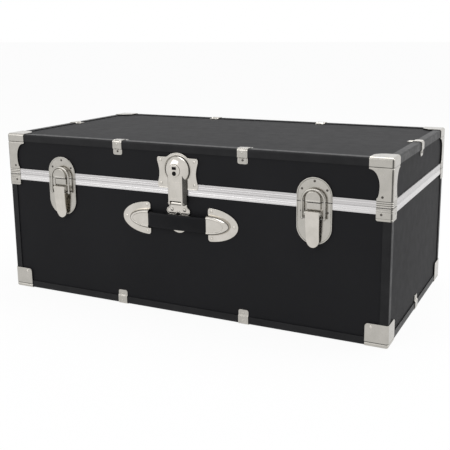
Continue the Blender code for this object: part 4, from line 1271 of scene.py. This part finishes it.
def add_hasp_foot():
    """The plate with two lobes under the hasp, its knuckle and the tongue behind the grip."""
    half = half_width("hasp_foot")
    top, bottom, lobe, neck = PARTING - 0.0200, PARTING - 0.0469, 0.0075, 0.0175
    right = [(0.0, bottom + 0.0050), (0.0015, bottom + 0.0050)]
    right += arc(half - 2 * lobe, bottom + lobe, lobe, lobe, -115, -90, 3)
    right += arc(half - lobe, bottom + lobe, lobe, lobe, -90, 35, 9)
    right += [(neck + 0.0012, bottom + 2.0 * lobe - 0.0010), (neck, bottom + 2.3 * lobe), (neck, top)]
    draw_outline(both_halves(right), PLATE_FACE)
    raise_rim(0.0013, 0.0007, 0.0005)
    give_depth(PLATE_FACE - PLATE_BACK)
    foot = soften(stop(), 0.0003)
    width, end = 0.0350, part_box("hasp_foot")[0][2] - 0.0006
    disc(0, end + width / 2, width / 2, 0.0021, 48)
    pull_row(lambda v: v.co.z > end + width / 2 + 1e-5, z=0.0210)
    raise_rim(0.0013, 0.0006, 0.0004)
    give_depth(0.0018)
    tongue = soften(stop(), 0.0002)
    knuckle = bar_across(-0.0110, 0.0110, HASP_PIVOT_Z, HASP_PIN_STAND, 0.0033, 28)
    reach = CHEEK_REACH + 0.0004
    pin = bar_across(-reach, reach, HASP_PIVOT_Z, HASP_PIN_STAND, 0.0016, 16)
    web = rounded_block((-0.0110, stand(HASP_PIN_STAND), HASP_PIVOT_Z - 0.0031),
                        (0.0110, stand(PLATE_FACE - 0.0008), HASP_PIVOT_Z + 0.0031), 0.0006, 2)
    made = shade(join(foot, [tongue, knuckle, pin, web]))
    keep(made, "hasp_foot_pressed", "base", POLISHED, ["hasp_foot"])
    # Painted shade on the slopes inside the foot's rim.
    paint_shade(made, lambda place, normal: -0.93 < normal.y < -0.3 and bottom < place.z < top - 0.0060)
    for _, sign in ENDS:
        add_front_head(rivets["base"], sign * 0.0125, PLATE_FACE - 0.0005, bottom + 0.0098)


# Handle


GRIP_LOW, GRIP_HIGH = box_of("handle_grip")
GRIP_Z = (GRIP_LOW.z + GRIP_HIGH.z) / 2
CAP_LOW, CAP_HIGH = box_of("right_handle_cap")
MOUTH = CAP_LOW.x
CAP_LENGTH = CAP_HIGH.x - CAP_LOW.x
CAP_HALF = (CAP_HIGH.z - CAP_LOW.z) / 2
CAP_FACE = 0.0023
POCKET_LENGTH = 0.0430
POCKET_HALF = 0.0187
TANG_REACH = 0.0240
TANG_STAND = 0.0011
TANG_GAUGE = 0.0014
TANG_HALF = 0.0115


def oval(length, half_height, distance, count=64):
    """A filled oval about the middle of the cap's mouth."""
    place = (MOUTH, stand(distance), GRIP_Z)
    start_circle(place, half_height, count, TURN_FORWARDS)
    resize(place, x=length / half_height)
    face_front()


def model_cap():
    """A half oval cap with a deep pocket for the grip's tang, dished on top."""
    oval(CAP_LENGTH, CAP_HALF, CAP_FACE)
    cut(0, MOUTH, clear="below")
    choose(lambda v: near(v, x=MOUTH) and abs(abs(v.co.z - GRIP_Z) - CAP_HALF) < 1e-5, "VERT")
    bevel(0.0050, 5, "VERTICES")
    raise_rim(0.0018, 0.0008, 0.0005)
    give_depth(CAP_FACE - PLATE_BACK)
    flange = soften(stop(), 0.0003)
    oval(POCKET_LENGTH - 0.0030, POCKET_HALF - 0.0025, 0.0)
    give_depth(-0.005)
    cut_away(flange, stop())
    oval(POCKET_LENGTH, POCKET_HALF, CAP_FACE - 0.0006)
    choose_all_faces()
    wall = ((0.0034, 0.980, 0.970), (0.0030, 0.955, 0.940))
    brow = ((0.0024, 0.945, 0.910), (0.0014, 0.940, 0.900))
    well = ((0.0, 0.930, 0.870), (-0.0009, 0.975, 0.950), (-0.0002, 0.750, 0.700))
    for rise, along, up in wall + brow + well:
        extrude(y=-rise)
        resize((MOUTH, 0, GRIP_Z), x=along, z=up)
    cut(0, MOUTH, clear="below")
    drop_faces(lambda f: f.normal.y > 0.9)
    pocket = gauge(stop(), 0.0011)
    soften(pocket, 0.0003, 2)
    return join(flange, [pocket])


def well_wall(place, normal):
    """The steep wall of the well pressed into a cap's pocket, which gets painted shade."""
    along, up = (abs(place.x) - MOUTH) / 0.0345, (place.z - GRIP_Z) / 0.0125
    return place.y < stand(0.0095) and abs(normal.y) < 0.90 and along**2 + up**2 < 0.90


def add_handle():
    cap = model_cap()
    for end, sign in ENDS:
        node = f"{end}_handle_cap"
        made = shade(copy_of(cap, node, mirror_matrix(sign < 0, False), sign < 0), 42)
        keep(made, f"{node}_pressed", "base", POLISHED, [node])
        # Painted shade on the wall of the pocket's well.
        paint_shade(made, well_wall)
        for x, z in ((0.0068, 0.0245), (0.0068, -0.0245), (CAP_LENGTH - 0.0075, 0.0)):
            add_front_head(studs["base"], sign * (MOUTH + x), 0.0018, GRIP_Z + z)
    discard(cap)
    add_grip()


def add_grip():
    """A slightly bowed grip with a raised middle, and its two flat tangs."""
    half = MOUTH - 0.0006
    front, thickness, bow = FRONT_FACE - GRIP_LOW.y, 0.0070, 0.0035
    low = Vector((-half, stand(front), GRIP_LOW.z))
    high = Vector((half, stand(front - thickness), GRIP_HIGH.z))
    start_block(low, high)
    columns = 24
    for column in range(1, columns):
        cut(0, -half + 2 * half * column / columns)
    choose(lambda f: f.normal.y < -0.9)
    inset(0.0032, 0.0009)
    move(y=-0.0005)
    for column in range(columns + 1):
        x = -half + 2 * half * column / columns
        choose(lambda v: near(v, x=x, reach=half / columns), "VERT")
        move(y=bow * (x / half) ** 2)
    choose(lambda e: grip_edge(e, low, high), "EDGE")
    bevel(0.0024, 4)
    body = stop()
    tangs = []
    for _, sign in ENDS:
        end_back = front - bow - thickness
        place = (sign * (half + 0.0040), stand(TANG_STAND), GRIP_Z)
        start("cube", size=1, location=place, scale=(TANG_REACH, TANG_GAUGE, 2 * TANG_HALF))
        cut(0, sign * half)
        cut(0, sign * (half - 0.0040))
        pull_row(lambda v: sign * v.co.x < half - 0.0040 + 1e-5, y=-(end_back + 0.0015))
        tangs.append(soften(stop(), 0.0004, 2))
    made = shade(join(body, tangs), 50)
    keep(made, "handle_grip_moulded", "grip", GRIP, ["handle_grip"])


def grip_edge(edge, low, high):
    """True for the four long edges of the grip."""
    at_top = all(abs(v.co.z - high.z) < 1e-5 for v in edge.verts)
    at_bottom = all(abs(v.co.z - low.z) < 1e-5 for v in edge.verts)
    along = abs(edge.verts[0].co.x - edge.verts[1].co.x) > 1e-4
    between = len({round(face.normal.z) for face in edge.link_faces}) == 2
    return (at_top or at_bottom) and along and between


# Hinges


def add_hinge_rivets():
    for end, _ in ENDS:
        for leaf, body, direction in (("lid_leaf", "lid", 1), ("base_leaf", "base", -1)):
            low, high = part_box(f"{end}_hinge_{leaf}")
            middle = (low[0] + high[0]) / 2
            level = PARTING + direction * 0.0260
            face = BACK_FACE + PLATE_FACE
            for offset in (-0.0190, 0.0190):
                rivets[body].append(((middle + offset, face, level), (0, 1, 0)))


# Floor, light and camera


def add_floor():
    """A pale floor that shows as white to the camera and to reflections, with a soft shadow."""
    bpy.ops.object.select_all(action="DESELECT")
    bpy.ops.mesh.primitive_plane_add(size=60, location=(0, 0, -0.0005))
    floor = bpy.context.object
    floor.name = "floor"
    material = bpy.data.materials.new("pale_floor")
    material.use_nodes = True
    nodes, links = material.node_tree.nodes, material.node_tree.links
    shader = nodes["Principled BSDF"]
    set_inputs(shader, {"Base Color": (0.90, 0.90, 0.90, 1), "Roughness": 0.9})
    glow = nodes.new("ShaderNodeEmission")
    set_inputs(glow, {"Color": (1, 1, 1, 1)})
    blend = nodes.new("ShaderNodeMixShader")
    seen = seen_directly(nodes, links)
    share = nodes.new("ShaderNodeMath")
    share.operation = "MULTIPLY"
    share.inputs[1].default_value = 0.94
    links.new(seen, share.inputs[0])
    links.new(share.outputs[0], blend.inputs["Fac"])
    links.new(shader.outputs["BSDF"], blend.inputs[1])
    links.new(glow.outputs["Emission"], blend.inputs[2])
    links.new(blend.outputs["Shader"], nodes["Material Output"].inputs["Surface"])
    floor.data.materials.append(material)


def seen_directly(nodes, links):
    """1 for camera, glossy and transmission rays."""
    path = nodes.new("ShaderNodeLightPath")
    total = path.outputs["Is Camera Ray"]
    for name in ("Is Glossy Ray", "Is Transmission Ray"):
        larger = nodes.new("ShaderNodeMath")
        larger.operation = "MAXIMUM"
        links.new(total, larger.inputs[0])
        links.new(path.outputs[name], larger.inputs[1])
        total = larger.outputs[0]
    return total


def set_world():
    world = bpy.data.worlds.new("studio")
    bpy.context.scene.world = world
    world.use_nodes = True
    nodes, links = world.node_tree.nodes, world.node_tree.links
    nodes.clear()
    light = nodes.new("ShaderNodeBackground")
    set_inputs(light, {"Color": (0.97, 0.98, 1.0, 1), "Strength": 0.55})
    backdrop = nodes.new("ShaderNodeBackground")
    set_inputs(backdrop, {"Color": (1, 1, 1, 1), "Strength": 1.0})
    blend = nodes.new("ShaderNodeMixShader")
    links.new(seen_directly(nodes, links), blend.inputs["Fac"])
    links.new(light.outputs["Background"], blend.inputs[1])
    links.new(backdrop.outputs["Background"], blend.inputs[2])
    out = nodes.new("ShaderNodeOutputWorld")
    links.new(blend.outputs["Shader"], out.inputs["Surface"])


def add_lamp(name, place, target, size, power):
    lamp = bpy.data.lights.new(name, "AREA")
    lamp.shape = "SQUARE"
    lamp.size = size
    lamp.energy = power
    holder = bpy.data.objects.new(name, lamp)
    bpy.context.scene.collection.objects.link(holder)
    holder.location = place
    holder.rotation_euler = (Vector(target) - Vector(place)).to_track_quat("-Z", "Y").to_euler()


def add_camera():
    """The camera of the photograph, from the trunk's corners in it."""
    azimuth, elevation, roll = radians(25.847), radians(11.644), radians(-0.448)
    distance = 1.5057
    target = Vector((0.0131, MIDDLE_Y, 0.1985))
    focal_pixels, frame_pixels, sensor = 756.23, 450.0, 36.0
    centre_x, centre_y = 235.0, 186.54
    back = Vector((sin(azimuth) * cos(elevation), -cos(azimuth) * cos(elevation), sin(elevation)))
    right = Vector((cos(azimuth), sin(azimuth), 0))
    up = back.cross(right)
    turned_right = right * cos(roll) + up * sin(roll)
    turned_up = up * cos(roll) - right * sin(roll)
    data = bpy.data.cameras.new("camera")
    data.sensor_width = sensor
    data.lens = focal_pixels / frame_pixels * sensor
    data.shift_x = (frame_pixels / 2 - centre_x) / frame_pixels
    data.shift_y = (centre_y - frame_pixels / 2) / frame_pixels
    camera = bpy.data.objects.new("camera", data)
    bpy.context.scene.collection.objects.link(camera)
    turn = Matrix((turned_right, turned_up, back)).transposed().to_4x4()
    camera.matrix_world = Matrix.Translation(target + back * distance) @ turn
    bpy.context.scene.camera = camera


def main():
    dress_nodes()
    add_corners()
    add_clamps()
    add_rail_faces()
    add_linings()
    add_latches()
    add_lock_plate()
    add_hasp()
    add_plug()
    add_hasp_foot()
    add_handle()
    add_hinge_rivets()
    for body in ("base", "lid"):
        add_heads(nails[body], f"{body}_nail_heads", body, NAIL_RADIUS, NAIL_RISE, NAIL)
        bright = bright_nails[body]
        add_heads(bright, f"{body}_bright_nail_heads", body, NAIL_RADIUS, NAIL_RISE, NICKEL)
        add_heads(rivets[body], f"{body}_rivet_heads", body, RIVET_RADIUS, RIVET_RISE, NICKEL)
        add_heads(studs[body], f"{body}_stud_heads", body, STUD_RADIUS, STUD_RISE, POLISHED)
    add_floor()
    set_world()
    add_lamp("overhead", (0.3, 0.4, 2.2), (0, 0, 0.2), 1.8, 31)
    add_lamp("right_side", (1.9, 0.9, 1.0), (0, 0, 0.2), 1.2, 9)
    add_lamp("front_fill", (-1.2, -2.0, 1.3), (0, 0, 0.15), 1.6, 13)
    add_camera()
    bpy.context.scene.view_settings.view_transform = "Standard"


main()
